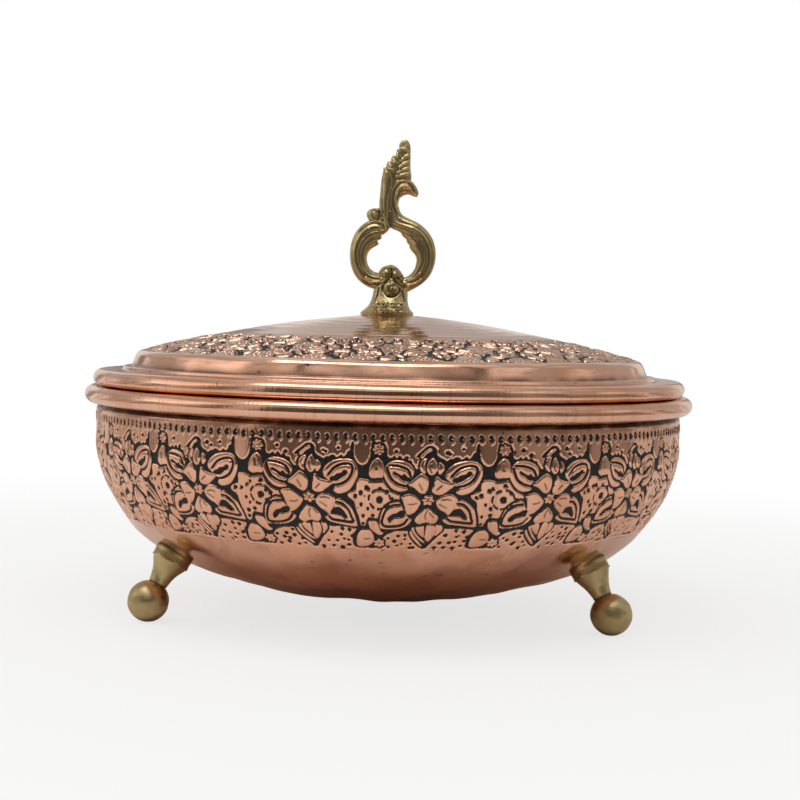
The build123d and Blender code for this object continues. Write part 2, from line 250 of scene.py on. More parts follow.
# One repeat of the chased band, in millimetres on the bowl's wall: across, and up from the flower's eye
petals = {
    "top_left": ((-1.9, 7.6), (-0.4, 6), (-0.4, 3.5), (-1.2, 2), (-2.4, 2.3), (-4, 3.7), (-5.6, 4.6),
                 (-4.3, 5.9), (-2.9, 7.2)),
    "top_right": ((1.8, 6.9), (3.2, 5.8), (5, 5.2), (6.5, 4.6), (5, 3), (3.5, 1.8), (2, 1.7), (1, 2.6),
                  (1.2, 4.5)),
    "right": ((2.4, 0.2), (4, 1.3), (5.8, 1.4), (7.3, 0.3), (7.3, -1.5), (6.3, -4.1), (5.4, -4.9),
              (4.6, -4.2), (2.9, -2.9), (2, -1.2)),
    "left": ((-7.5, 1), (-5.5, 1.9), (-3.6, 1.2), (-2.1, -0.5), (-2.3, -1.9), (-3.6, -4), (-5.2, -4.9),
             (-6, -4.2), (-6.4, -2.3), (-7, -0.3)),
    "bottom": ((-0.2, -2.4), (1.4, -3.7), (2.8, -5.4), (2.8, -7), (1.7, -7.7), (0, -7.3), (-2, -7.9),
               (-3.2, -6.9), (-2.8, -5.5), (-1.4, -3.5)),
}
petal_slits = (
    ((-2.7, 4.9), (-1.8, 3.1)), ((3.3, 4.3), (2.1, 3.1)), ((3.2, 0), (4.6, 0.2), (5.8, -0.1)),
    ((3, -1.2), (5, -2.4)), ((-5.3, -1.4), (-4.1, -1.4), (-3.2, -1.1)),
    ((0.1, -3.1), (-0.5, -4.5), (-0.4, -6.1)), ((0.7, -3.7), (1.8, -5.1)),
)
leaves = {
    "upper_left": ((-12.3, 9), (-10.5, 10.9), (-8, 11.1), (-5.6, 10.2), (-4.4, 8.6), (-4.8, 6.6),
                   (-6.4, 4.3), (-6.2, 2.9), (-8.4, 2.5), (-10.4, 3.6), (-12.2, 6.3)),
    "upper_right": ((4.5, 6.5), (4.5, 8.5), (6.5, 10.5), (9.5, 11.3), (12, 11), (13.4, 9.4), (13.5, 7),
                    (12.5, 4.5), (11, 2.5), (8.6, 1.6), (7.2, 2.4), (7.6, 3.5), (6.4, 4.9)),
    "lower_right": ((8, -0.2), (9.6, -0.3), (11.3, -1.8), (12.6, -4), (13.6, -8.2), (13, -9), (9, -8.3),
                    (5.6, -7.6), (4.4, -6.2), (5.6, -5.4), (7, -3.4)),
    "lower_left": ((-8.2, -0.6), (-10, -0.8), (-12, -2.5), (-13, -5), (-13.3, -8.4), (-12.4, -9.6),
                   (-8, -9.3), (-5.4, -8), (-4.3, -6.3), (-5.4, -5.4), (-6.9, -3)),
}
leaf_rings = (
    ((-11, 10), (-8.5, 9.8), (-6, 8.8), (-5, 6.8)),
    ((-11.6, 9.4), (-11.3, 8.2), (-10.3, 6), (-8.5, 4.6), (-6.2, 4)),
    ((5.6, 6.9), (7.4, 9), (10, 10.05), (12, 9.7), (12.2, 8), (11.1, 5.6), (9, 4.2), (6.7, 3.8)),
    ((7.8, -1.2), (9.5, -1.7), (11.1, -3.5), (12, -6), (12.3, -7.5), (9, -7.2), (6.5, -6.8), (5.4, -5.9)),
    ((-8, -1.4), (-10.4, -1.9), (-12.1, -4), (-12.7, -8.2), (-9, -8.5), (-6.5, -7.6), (-5.4, -6.1)),
)
leaf_eyes = (
    ((-10, 8.3), (-8.8, 7.7), (-7.5, 7), (-6.8, 7.5), (-6.2, 6.7), (-5.1, 6.4), (-5, 5.5), (-6.3, 5.5),
     (-7.5, 5.8), (-8.5, 6.8), (-9.7, 7.4)),
    ((5.9, 5.6), (6.4, 6.4), (7.3, 6.6), (8, 7.2), (9.3, 7.5), (10.2, 8.3), (11, 7.9), (10.5, 7), (9.5, 6.3),
     (8.3, 5.4), (7.2, 5.1)),
    ((6, -4.8), (7, -3.2), (8.5, -2.9), (9.7, -4), (10.8, -6), (9.8, -6.1), (8.8, -5.3), (7.8, -5),
     (6.8, -4.9)),
    ((-10.9, -7), (-11, -6), (-9.8, -4.7), (-8.6, -4.3), (-7.5, -3.5), (-6.1, -3.5), (-6.2, -4.9),
     (-7.5, -5.4), (-9, -5.7), (-10, -6.8)),
)
buds = (
    ((-2.8, -8.9), (-1.8, -8.3), (-0.7, -8.7), (-0.4, -10.5), (-0.3, -12.4), (-1.5, -11.4), (-2.5, -10.2)),
    ((0.3, -8.3), (1.4, -8), (2.3, -8.7), (2.7, -10.6), (2.1, -12.5), (1, -14.2), (0.1, -13), (0.1, -10.4)),
    ((2.9, -8.1), (4.2, -8.4), (4.5, -9.9), (3.9, -11.1), (3, -12), (3.1, -10.2)),
    ((-3.5, -8.9), (-3.1, -10.4), (-2, -12), (-0.4, -13.7), (0.3, -14.6), (-1.4, -13.4), (-3, -11.4),
     (-4, -9.7)),
    ((0.5, 12), (-0.5, 10.4), (-0.6, 8.8), (0.2, 7.5), (1.1, 7.6), (1.8, 8.9), (1.7, 10.4), (1, 11.7)),
    ((2.5, 10.9), (3.5, 10.1), (3.6, 8.8), (2.7, 7.7), (2.3, 8.8), (2.4, 10)),
    ((-0.8, 12), (-1.9, 11.6), (-2.6, 10.2), (-2.3, 8.7), (-1.2, 8), (-1.4, 9.4), (-1.2, 10.7)),
    ((-4.5, -10.3), (-3.1, -12.6), (-0.6, -15.7), (-1, -15.9), (-2.9, -13.9), (-4.3, -11.8)),
    ((-1.9, 12.1), (-0.9, 13.4), (0.4, 14.3), (0, 14.7), (-1.2, 14), (-2.4, 12.6)),
)
corner_figures = (
    ((-14.3, 11.9), (-12.9, 10.6), (-12.5, 8.4), (-12.7, 6.7), (-14.2, 6.5), (-15.6, 6.3), (-16.5, 7.4),
     (-16, 10)),
    ((-16.6, -7.5), (-15.3, -6.9), (-14.3, -7.4), (-13.7, -9), (-13.2, -10.6), (-12.4, -11.3), (-13.3, -12),
     (-14.9, -11), (-16.2, -9.6)),
    ((13.1, -16), (13.2, -13.2), (14.2, -11), (15.5, -10), (16.9, -10.5), (18, -12.2), (18.1, -14.4),
     (16.8, -15.8), (14.8, -16.4)),
)
corner_slits = (
    ((0.5, 10.7), (0.4, 9.6), (0.7, 8.4)), ((-14.6, 10.6), (-14.4, 8.9)), ((15.3, -13.3), (17, -13.5)),
    ((-16.4, 5.2), (-13, 5.4)),
)
# Rosettes are (across, up, radius, lobes)
rosettes = ((0, 0, 1.35, 6), (-14.1, 14.3, 1.25, 7), (-13.6, -15, 1.3, 6))
dotted_fields = (
    ((-16.9, 4.6), (-14.5, 5.5), (-12.5, 5.6), (-11, 3), (-8.2, 1.4), (-7.8, 0.3), (-9, -0.1), (-11.5, -0.9),
     (-12.8, -3), (-13.4, -5.6), (-15.2, -5.9), (-17.1, -4.8), (-17.3, -1)),
    ((14, 6), (16.5, 5.8), (17.6, 4.4), (17.8, -4), (16.4, -6.3), (15.5, -8.5), (14.5, -8.5), (14, -6),
     (13.2, -3), (12.9, -0.8), (11.3, 0.8), (11.5, 2), (13.5, 3), (13.8, 5.2)),
    ((-11.3, -12), (-8.5, -10.4), (-5, -10.5), (-3, -13.2), (-0.7, -16.7), (-1, -18.2), (-12.3, -18.2),
     (-12.1, -16.5), (-12.4, -14)),
    ((5, -9.3), (9, -9.3), (13, -9.8), (13, -11), (12, -12.5), (12, -16), (12.2, -18.2), (0.8, -18.2),
     (0.9, -16.6), (3, -13.3), (4.5, -10.8)),
)
upper_field_edge = (
    (-17, 16.7), (-15.4, 16.5), (-14.2, 16.1), (-12.7, 16), (-11.8, 14.7), (-11.7, 12.8), (-11.1, 12),
    (-10.3, 12.1), (-9.7, 12.7), (-9.1, 12), (-8.3, 12.8), (-7.4, 11.8), (-6.8, 12.5), (-5.9, 11.5),
    (-5, 11.3), (-4.6, 10), (-3.9, 9.2), (-2.7, 9.3), (-2.6, 11), (-2.9, 12), (-3.9, 12.2), (-3.4, 13.1),
    (-2, 14.3), (-0.7, 15.4), (0.7, 15.5), (1.8, 14.6), (1.8, 13.3), (2.5, 12.4), (3.5, 11.9), (4.3, 11.4),
    (5.1, 12), (5.8, 12), (6.5, 12.5), (7.4, 12.4), (8, 11.8), (8.7, 12.2), (9.3, 12.7), (9.9, 12.1),
    (10.6, 12.7), (10.9, 13.5), (11.6, 14), (11.8, 15.4), (12.3, 16.4), (12.8, 15.8), (12.8, 13.7),
    (13.1, 11.7), (14, 10.4), (15.1, 9.9), (16.3, 10.4), (17.1, 11.9), (17.4, 13.9), (17.5, 16.2),
)
upper_field_top = ((17.5, 24), (0, 24.5), (-17.4, 24))
dots = (
    (15.9, 3), (14.1, 1.4), (12.4, 1.5), (15.1, -1.4), (16.8, -2.9), (15.2, -5.2), (15.3, -7.5),
    (-5.8, -11.7), (-7.9, -12.4), (-9.2, -13.7), (-5.8, -13.3), (-6.8, -14.9), (-8, -15.9), (-3.9, -14.9),
    (-4.7, -16.4), (-3, -16.4), (-11, -13.2), (-10.4, -16.3), (5.7, -11.7), (8.6, -10.3), (11, -10.4),
    (8.7, -12.6), (6.8, -14.4), (9.1, -14.3), (10.9, -13.9), (4.2, -14.4), (10.7, -15.7), (5.7, -16.4),
    (8.4, -16.5), (2.9, -16.5), (11.9, -12.5), (-11.9, 2.4), (-12, -2.2), (-16.6, 3.4), (-15.8, -4.9),
    (-13.6, 4.1), (-10.3, 0.5), (4, 14), (5.3, 13.2), (8.6, 14.6), (-6.3, 12.8), (-8.8, 14.4),
)
hole_centre = np.array((-13.6, 0))
hole_r = 0.95
ring_dashes = 7
ring_dash_r = 3.0
ring_dash_width = 0.5
dot_r = 0.5
slit_width = 0.36
ring_width = 0.62
figure_moat = 0.5
plain_edge = -17.0
punches_per_cell = 13
punch_row = 17.5
punch_half_width = 0.62
punch_half_height = 1.05


def through(points, closed=True, steps=5):
    """Smooth line through given points: a Catmull-Rom spline, each span cut in steps."""
    p = np.array(points, float)
    if closed:
        before, start, after, beyond = np.roll(p, 1, 0), p, np.roll(p, -1, 0), np.roll(p, -2, 0)
    else:
        padded = np.vstack([2 * p[0] - p[1], p, 2 * p[-1] - p[-2]])
        before, start, after, beyond = padded[:-3], padded[1:-2], padded[2:-1], padded[3:]
    t = (np.arange(steps) / steps)[None, :, None]
    a, b, c, d = before[:, None], start[:, None], after[:, None], beyond[:, None]
    line = 0.5 * (2 * b + (c - a) * t + (2 * a - 5 * b + 4 * c - d) * t ** 2
                  + (3 * b - a - 3 * c + d) * t ** 3).reshape(-1, 2)
    return line if closed else np.vstack([line, p[-1]])


def line_distance(u, v, line, closed):
    """Distance from each (u, v) to the nearest point of a polyline."""
    start = line if closed else line[:-1]
    end = np.roll(line, -1, 0) if closed else line[1:]
    span = end - start
    length = np.maximum((span ** 2).sum(1), 1e-12)
    du, dv = u[..., None] - start[:, 0], v[..., None] - start[:, 1]
    t = np.clip((du * span[:, 0] + dv * span[:, 1]) / length, 0, 1)
    return np.sqrt(((du - t * span[:, 0]) ** 2 + (dv - t * span[:, 1]) ** 2).min(-1))


def inside(u, v, line):
    """Whether each (u, v) lies within a closed polyline: its edges to the right are counted."""
    x0, y0 = line[:, 0], line[:, 1]
    x1, y1 = np.roll(x0, -1), np.roll(y0, -1)
    crosses = (y0 > v[..., None]) != (y1 > v[..., None])
    slope = (x1 - x0) / np.where(y1 == y0, 1e-9, y1 - y0)
    left_of = u[..., None] < x0 + (v[..., None] - y0) * slope
    return (crosses & left_of).sum(-1) % 2 == 1


def depth_within(u, v, line):
    """Distance inside a closed polyline, negative outside it."""
    away = line_distance(u, v, line, True)
    return np.where(inside(u, v, line), away, -away)


class Chasing:
    """Relief of a strip of the band on a regular grid, kept as distances: how far each point is inside the
    raised figures and fields, and how far it is from the cuts and the shallow scratches.
    Distances are kept up to far. Swelling is how far the figures outgrow their drawn outlines."""

    far = 1.6

    def __init__(self, u, v, swelling):
        self.u, self.v, self.swelling = u, v, swelling
        shape = len(v), len(u)
        self.figures, self.fields = np.full(shape, -self.far), np.full(shape, -self.far)
        self.cuts, self.scratches = np.full(shape, self.far), np.full(shape, self.far)

    def near(self, line):
        """Slices of the grid that hold a line with a margin, and the grid's places there."""
        low, high = line.min(0) - self.far, line.max(0) + self.far
        cols = slice(*np.searchsorted(self.u, [low[0], high[0]]))
        rows = slice(*np.searchsorted(self.v, [low[1], high[1]]))
        return (rows, cols), *np.meshgrid(self.u[cols], self.v[rows])

    def raise_shape(self, target, line):
        """Joins a raised outline to the figures or the fields."""
        where, u, v = self.near(line)
        if u.size:
            target[where] = np.maximum(target[where], depth_within(u, v, line))

    def cut_shape(self, line):
        """Cuts a closed outline out of everything."""
        where, u, v = self.near(line)
        if u.size:
            self.cuts[where] = np.minimum(self.cuts[where], -depth_within(u, v, line))

    def cut_line(self, target, line, width):
        """Cuts a groove of a width along an open line."""
        where, u, v = self.near(line)
        if u.size:
            target[where] = np.minimum(target[where], line_distance(u, v, line, False) - width / 2)

    def cut_dot(self, centre, radius):
        """Punches a round dot."""
        centre = np.array(centre)
        where, u, v = self.near(np.stack([centre - radius, centre + radius]))
        if u.size:
            away = np.hypot(u - centre[0], v - centre[1]) - radius
            self.cuts[where] = np.minimum(self.cuts[where], away)

    def copper(self):
        """Distance inside the raised copper: the figures, with the fields up to a moat round them and down
        to a plain edge that waves like a sine, less the cuts."""
        figures = self.figures + self.swelling
        base = plain_edge - self.v[:, None] + 0.12 * np.sin(self.u * 2.1)
        fields = np.minimum(np.maximum(self.fields + self.swelling / 2, base), -figures - figure_moat)
        return np.minimum(np.maximum(figures, fields), self.cuts)


def chase_cell(relief, middle, seed):
    """Draws one repeat: every shape is moved, turned and sized a little on its own."""
    rng = np.random.default_rng(seed)

    def placed(points, closed=True, slack=1.0):
        p = np.array(points, float)
        centre = p.mean(0)
        turn = radians(rng.normal() * 1.6 * slack)
        size = 1 + rng.normal() * 0.02 * slack
        spin = np.array([[cos(turn), -sin(turn)], [sin(turn), cos(turn)]])
        moved = (p - centre) @ spin.T * size + centre + rng.normal(size=2) * 0.13 * slack
        moved += rng.normal(size=p.shape) * 0.05 * slack
        return through(moved + (middle, 0), closed)

    for shapes, slack in ((petals.values(), 1.0), (leaves.values(), 0.6), (buds + corner_figures, 0.7)):
        for shape in shapes:
            relief.raise_shape(relief.figures, placed(shape, slack=slack))
    for u, v, radius, lobes in rosettes:
        turn = rng.uniform(0, pi)
        angle = np.linspace(0, 2 * pi, 12 * lobes, endpoint=False)
        reach = radius * (1 + 0.22 * np.cos(lobes * angle + turn))
        eye = np.array((middle + u, v))
        ring = np.stack([u + reach * np.cos(angle), v + reach * np.sin(angle)], -1)
        relief.raise_shape(relief.figures, ring + (middle, 0))
        relief.cut_dot(eye, 0.22)
        for step in np.arange(lobes) * 2 * pi / lobes:
            relief.cut_dot(eye + 0.62 * radius * np.array((cos(step), sin(step))), 0.1)
    for shape in dotted_fields:
        relief.raise_shape(relief.fields, placed(shape, slack=0.5))
    relief.raise_shape(relief.fields, placed(upper_field_edge + upper_field_top, slack=0.4))
    for slit in petal_slits + corner_slits:
        relief.cut_line(relief.scratches, placed(slit, closed=False), slit_width)
    for ring in leaf_rings:
        relief.cut_line(relief.cuts, placed(ring, closed=False, slack=0.4), ring_width)
    for eye in leaf_eyes:
        relief.cut_shape(placed(eye, slack=0.6))
    for dot in dots:
        centre = np.array(dot) + (middle, 0) + rng.normal(size=2) * 0.3
        relief.cut_dot(centre, dot_r * rng.uniform(0.8, 1.3))
    hole = hole_centre + (middle, 0)
    relief.cut_dot(hole, hole_r)
    for start in np.arange(ring_dashes) * 2 * pi / ring_dashes + rng.uniform(0, 0.6):
        sweep = np.linspace(start, start + rng.uniform(0.35, 0.62), 5)
        dash = np.stack([np.cos(sweep), np.sin(sweep)], -1) * ring_dash_r
        relief.cut_line(relief.cuts, dash + hole, ring_dash_width)


def chased_cells(sector, columns, up, swelling, first_seed, seeds):
    """The columns of a sector, counted in cells, and its relief, with the cells that reach into it."""
    first = sector * cells_per_sector
    cell = np.linspace(first - 0.5, first + cells_per_sector - 0.5, columns)
    relief = Chasing(cell * bowl_cell_width, up, swelling)
    for number in range(first - 1, first + cells_per_sector + 1):
        chase_cell(relief, number * bowl_cell_width, first_seed + number % seeds)
    return cell, relief


def line(*points):
    """Straight stretches through points."""
    return np.array(points, float)


def arc(centre, radius, start, end, count=24):
    """Points on a circle from one angle to another, in degrees."""
    angle = np.radians(np.linspace(start, end, count))
    return np.stack([centre[0] + radius * np.cos(angle), centre[1] + radius * np.sin(angle)], -1)


def bend(before, corner, after, radius, count=8):
    """A corner rounded with a circle: it leaves both lines at radius x tan(half the turn)."""
    before, corner, after = (np.array(p, float) for p in (before, corner, after))
    back = (before - corner) / np.linalg.norm(before - corner)
    ahead = (after - corner) / np.linalg.norm(after - corner)
    half = acos(float(np.clip(back @ ahead, -1, 1))) / 2
    middle = corner + (back + ahead) / np.linalg.norm(back + ahead) * radius / sin(half)
    first = corner + back * radius / tan(half) - middle
    last = corner + ahead * radius / tan(half) - middle
    start = atan2(first[1], first[0])
    sweep = (atan2(last[1], last[0]) - start + pi) % (2 * pi) - pi
    return arc(middle, radius, degrees(start), degrees(start + sweep), count)


def bends(radius, count, *points):
    """Each inner point of an outline rounded in its turn."""
    return chain(*(bend(*corner, radius, count) for corner in zip(points, points[1:], points[2:])))


def chain(*stretches):
    """Stretches of an outline one after another, without doubled points."""
    path = np.vstack(stretches)
    keep = np.concatenate([[True], np.linalg.norm(np.diff(path, axis=0), axis=1) > 1e-6])
    return path[keep]


def walked(path):
    """Distance along a line at each of its points."""
    return np.concatenate([[0], np.cumsum(np.linalg.norm(np.diff(path, axis=0), axis=1))])


def recut(path, count):
    """The same line cut in a number of evenly spaced points, its ends kept."""
    along = walked(path)
    at = np.linspace(0, along[-1], count)
    return np.stack([np.interp(at, along, path[:, 0]), np.interp(at, along, path[:, 1])], -1)


def even(path, spacing):
    """The same line with points about one spacing apart."""
    return recut(path, max(2, int(round(walked(path)[-1] / spacing)) + 1))


def outward(path):
    """Unit normals on the right-hand side of an outline's direction, averaged over each point's spans."""
    ahead = np.gradient(path, axis=0)
    ahead /= np.linalg.norm(ahead, axis=1)[:, None]
    return np.stack([ahead[:, 1], -ahead[:, 0]], -1)


def carried(path, azimuth):
    """An outline's (radius, height) points set at each azimuth."""
    radius, height = path[:, :1], path[:, 1:]
    return np.stack([radius * np.cos(azimuth), radius * np.sin(azimuth),
                     np.repeat(height, len(azimuth), 1)], -1)


def lifted(points, normal, azimuth, height):
    """Carried points moved off the face by a height each, along the outline's own normal."""
    aside = normal[:, :1] * height
    return points + np.stack([aside * np.cos(azimuth), aside * np.sin(azimuth), normal[:, 1:] * height], -1)


# The bowl's outer face: centres of its three arcs, from the bottom up
base_arc_z = bowl_bottom_z + base_turn_radius
side_arc_z = base_arc_z - (base_turn_radius - side_turn_radius) * sin(side_turn_end)
wall_arc_z = side_arc_z - (side_turn_radius - wall_turn_radius) * sin(wall_turn_end)
wall_arc_r = wall_r - wall_turn_radius
side_arc_r = wall_arc_r - (side_turn_radius - wall_turn_radius) * cos(wall_turn_end)
base_arc_r = side_arc_r - (base_turn_radius - side_turn_radius) * cos(side_turn_end)
flower_drop = 10.7
flower_z = wall_arc_z - flower_drop
neck_foot_z = rim_z - 4.4
neck_top_z = rim_z - 3.1


def bowl_face(up):
    """Point and outward normal of the bowl's outer face at a distance up the face from the flowers' eyes.
    It is upright at the top, then turns in round the wall's arc and the side's: each point is the arc's
    centre plus its radius times the normal, and the angle is the arc's length over its radius."""
    up = np.asarray(up, float)
    turn = (wall_arc_z - flower_z - up) / wall_turn_radius
    past = turn - wall_turn_end
    side = wall_turn_end + past * wall_turn_radius / side_turn_radius
    angle = np.where(turn < 0, 0, np.where(past < 0, turn, side))
    radius = np.where(past < 0, wall_turn_radius, side_turn_radius)
    centre_r = np.where(past < 0, wall_arc_r, side_arc_r)
    centre_z = np.where(turn < 0, flower_z + up, np.where(past < 0, wall_arc_z, side_arc_z))
    normal = np.stack([np.cos(angle), -np.sin(angle)], -1)
    return np.stack([centre_r, centre_z], -1) + radius[..., None] * normal, normal


def wall_dents(points):
    """How far the hand-worked bowl stands off its true outline: broad dents, softer on the wall."""
    low = 1 - ease(24, 36, points[..., 2])
    broad = wander(points, 26, seed=11) * (0.05 + 0.17 * low)
    small = wander(points, 9, seed=12) * (0.022 + 0.045 * low)
    return broad + small


def dome_ripples(points):
    """The lid's spun dome: faint rings of a few millimetres, and broad dents."""
    radius = np.hypot(points[..., 0], points[..., 1])
    rings = np.sin(2 * pi * radius / 3.4 + wander(points, 40, seed=21)) * 0.012
    rings += np.sin(2 * pi * radius / 6.1 + 1.4 * wander(points, 30, seed=24)) * 0.024
    return rings + wander(points, 22, seed=22) * 0.035 + wander(points, 7, seed=23) * 0.008


def bead_waver(points, seed):
    """A rolled rim is never quite true: slow wander of its surface."""
    return -np.abs(wander(points, 24, seed) * 0.03 + wander(points, 6, seed + 1) * 0.008)


def flower_azimuth(cell):
    """Azimuth in degrees of a flower's eye on the bowl, counted from the one right of the front: even steps
    plus each flower's own drift, shared out between neighbours."""
    whole = np.floor(cell).astype(int)
    drift = np.array(bowl_flower_drift)
    here, ahead = drift[whole % bowl_cells], drift[(whole + 1) % bowl_cells]
    return -90 + bowl_first_flower + 360 / bowl_cells * cell + here + (ahead - here) * (cell - whole)


def relief_height(copper, relief, points, depth, fullness=0.16):
    """Height of the chased surface over the plain face, from the distance inside the copper.
    Ground lies a depth down, edges roll over about a third of a millimetre, petals swell to their
    middles by fullness x (1 - exp(-distance)), and slits are shallow grooves."""
    edge = ease(-0.14, 0.30, copper)
    ground = (edge - 1) * depth
    swell = fullness * (1 - np.exp(-np.maximum(relief.figures, 0) / 0.7)) * edge
    slit = 1.2 * fullness * (1 - ease(-0.16, 0.14, relief.scratches)) * edge
    rough = (1 - edge) * wander(points, 0.9, seed=31) * 0.035
    return ground + swell - slit + rough


class Output:
    """What one shader node gives. Adding, taking away, multiplying and dividing make the next node."""

    def __init__(self, made, name=0):
        self.socket, self.tree = made.outputs[name], made.id_data

    def step(self, operation, *others):
        """One arithmetic node with this output first."""
        made = node(self.tree, "ShaderNodeMath", dict(enumerate((self, *others))), operation=operation)
        return Output(made)

    def __add__(self, other):
        return self.step("ADD", other)

    def __sub__(self, other):
        return self.step("SUBTRACT", other)

    def __mul__(self, other):
        return self.step("MULTIPLY", other)

    def __truediv__(self, other):
        return self.step("DIVIDE", other)


def join(value, socket):
    """Gives a socket another node's output, or a plain value."""
    if isinstance(value, Output):
        value.tree.links.new(value.socket, socket)
    else:
        socket.default_value = value


def node(tree, kind, inputs=None, **settings):
    """A shader node with its settings and its inputs."""
    made = tree.nodes.new(kind)
    for key, value in settings.items():
        setattr(made, key, value)
    for key, value in (inputs or {}).items():
        join(value, made.inputs[key])
    return made


def greater(first, second):
    """The greater of two outputs at each place."""
    return first.step("MAXIMUM", second)


def stretch(value, low, high, to_low=0.0, to_high=1.0):
    """The value taken from one range to another, held at its ends and eased between."""
    ranges = {0: value, 1: low, 2: high, 3: to_low, 4: to_high}
    return Output(node(value.tree, "ShaderNodeMapRange", ranges, interpolation_type="SMOOTHSTEP"))


def mix(factor, first, second):
    """Two values mixed by a factor."""
    return Output(node(factor.tree, "ShaderNodeMix", {0: factor, 2: first, 3: second}))


def blend(factor, first, second):
    """Two colours mixed by a factor: plain ones are red, green and blue."""
    made = node(factor.tree, "ShaderNodeMix", data_type="RGBA")
    for value, number in ((factor, 0), (first, 6), (second, 7)):
        join((*value, 1) if isinstance(value, tuple) else value, made.inputs[number])
    return Output(made, 2)


def grain(where, scale, detail=3.0, roughness=0.55):
    """Noise at a number of repeats to the metre."""
    inputs = {"Vector": where, "Scale": scale, "Detail": detail, "Roughness": roughness}
    return Output(node(where.tree, "ShaderNodeTexNoise", inputs), "Fac")


def parts_of(place):
    """The three coordinates of a place."""
    made = node(place.tree, "ShaderNodeSeparateXYZ", {0: place})
    return [Output(made, number) for number in range(3)]


def place_of(tree, *coordinates):
    """A place with two or three coordinates."""
    return Output(node(tree, "ShaderNodeCombineXYZ", dict(enumerate(coordinates))))


def from_axis(x, y):
    """Distance from the Z axis: the root of x^2 + y^2."""
    return (x * x + y * y).step("SQRT")


def round_place(place, along, across, up):
    """Coordinates that follow a turned piece: arc along, distance from Z and height, each at its own scale."""
    x, y, z = parts_of(place)
    return place_of(place.tree, y.step("ARCTAN2", x) * along, from_axis(x, y) * across, z * up)


def painted(place, name):
    """A value painted on the mesh."""
    return Output(node(place.tree, "ShaderNodeAttribute", attribute_name=name), "Fac")


def new_material(name):
    """Material with its surface shader, and the object's own coordinates in metres."""
    material = bpy.data.materials.new(name)
    material.use_nodes = True
    tree = material.node_tree
    shader = tree.nodes["Principled BSDF"]
    return material, shader, Output(node(tree, "ShaderNodeTexCoord"), "Object")


def coat(shader, tone, metallic, roughness, height, strength, distance):
    """Joins a finish to the surface shader: its colour, metal share, roughness and bump."""
    bump = node(shader.id_data, "ShaderNodeBump", {"Strength": strength, "Distance": distance, "Height": height})
    finish = {"Base Color": tone, "Metallic": metallic, "Roughness": roughness, "Normal": Output(bump)}
    for name, value in finish.items():
        join(value, shader.inputs[name])


# Colours of the finishes, as linear red, green and blue
bright_copper, deep_copper, red_copper = (0.88, 0.51, 0.355), (0.79, 0.42, 0.265), (0.60, 0.30, 0.20)
worked_copper, copper_speck = (0.55, 0.27, 0.17), (0.10, 0.05, 0.03)
# The first colour of the next line is the paler copper of the painted sheen on the lid's top; the second is the
# brown of the chased slits and of painted shade
painted_sheen_copper, slit_and_shade_brown = (0.87, 0.63, 0.49), (0.10, 0.058, 0.043)
ink_black, ink_grey = (0.004, 0.005, 0.0045), (0.017, 0.018, 0.016)
bright_tin, dull_tin = (0.66, 0.64, 0.60), (0.50, 0.48, 0.45)
bright_brass, dull_brass, brass_dirt = (0.58, 0.46, 0.235), (0.44, 0.345, 0.165), (0.085, 0.062, 0.024)
bright_steel, dull_steel = (0.55, 0.55, 0.54), (0.42, 0.42, 0.41)
drawn_wire, wire_rust = (0.30, 0.29, 0.28), (0.22, 0.17, 0.14)
washer_copper, washer_brown = (0.72, 0.40, 0.28), (0.55, 0.27, 0.17)
# Heights in metres between which the bowl's hammering turns to brushing, the bowl's finish to the lid's
# rings, and the lid's tone to a paler copper over its chased band, a painted sheen
brushed_from, rings_from, painted_sheen_from = (0.026, 0.036), (0.0795, 0.081), (0.0825, 0.0835)


def copper_material():
    """Polished copper, a little aged, with blackened chasing where the ink value is above zero; on the bowl's
    neck the ink paints a black line of shade.
    It is brushed round the wall, hammered low on the bowl and spun in rings on the lid."""
    material, shader, place = new_material("chased_copper")
    height = parts_of(place)[2]
    cloud = grain(place, 55, 4)
    fleck = grain(place, 420, 3)
    brushed = grain(round_place(place, 1.0, 0.05, 0.25), 110, 4, 0.65)
    hammered = grain(place, 130, 2)
    rings = grain(round_place(place, 0.12, 6.0, 6.0), 110, 3)
    worked = mix(stretch(height, *brushed_from), hammered, brushed)
    worked = mix(stretch(height, *rings_from), worked, rings)
    tone = blend(stretch(cloud, 0.35, 0.68), bright_copper, deep_copper)
    tone = blend(stretch(fleck, 0.58, 0.75, 0, 0.3), tone, red_copper)
    tone = blend(stretch(worked, 0.5, 0.72, 0, 0.5), tone, worked_copper)
    tone = blend(stretch(grain(place, 520, 1), 0.74, 0.78, 0, 0.7), tone, copper_speck)
    # Painted sheen: the lid's top turns to a paler copper, as if it caught a bright grazing reflection
    tone = blend(stretch(height, *painted_sheen_from, 0, 0.45), tone, painted_sheen_copper)
    ink = painted(place, "ink") + (fleck - 0.5) * 0.16
    # The tint value darkens towards brown: patina in the chased slits, and painted shade in the bowl's neck
    # crease, under its bead, in the lid's step corners and in the troughs of the lid's petal flutes
    tint = greater(stretch(ink, -0.13, 0.0, 0, 0.6), painted(place, "tint") * 0.9)
    ground = stretch(ink, -0.03, 0.05)
    sooty = stretch(grain(place, 900, 2), 0.45, 0.75)
    tone = blend(tint, tone, slit_and_shade_brown)
    tone = blend(ground, tone, blend(sooty, ink_black, ink_grey))
    metallic = stretch(ground, 0, 1, 1.0, 0.15)
    roughness = greater(stretch(cloud, 0.3, 0.7, 0.09, 0.16) + tint * 0.2, ground * 0.55)
    coat(shader, tone, metallic, roughness, worked + grain(place, 1500, 2) * 0.25, 1.0, 0.00004)
    return material


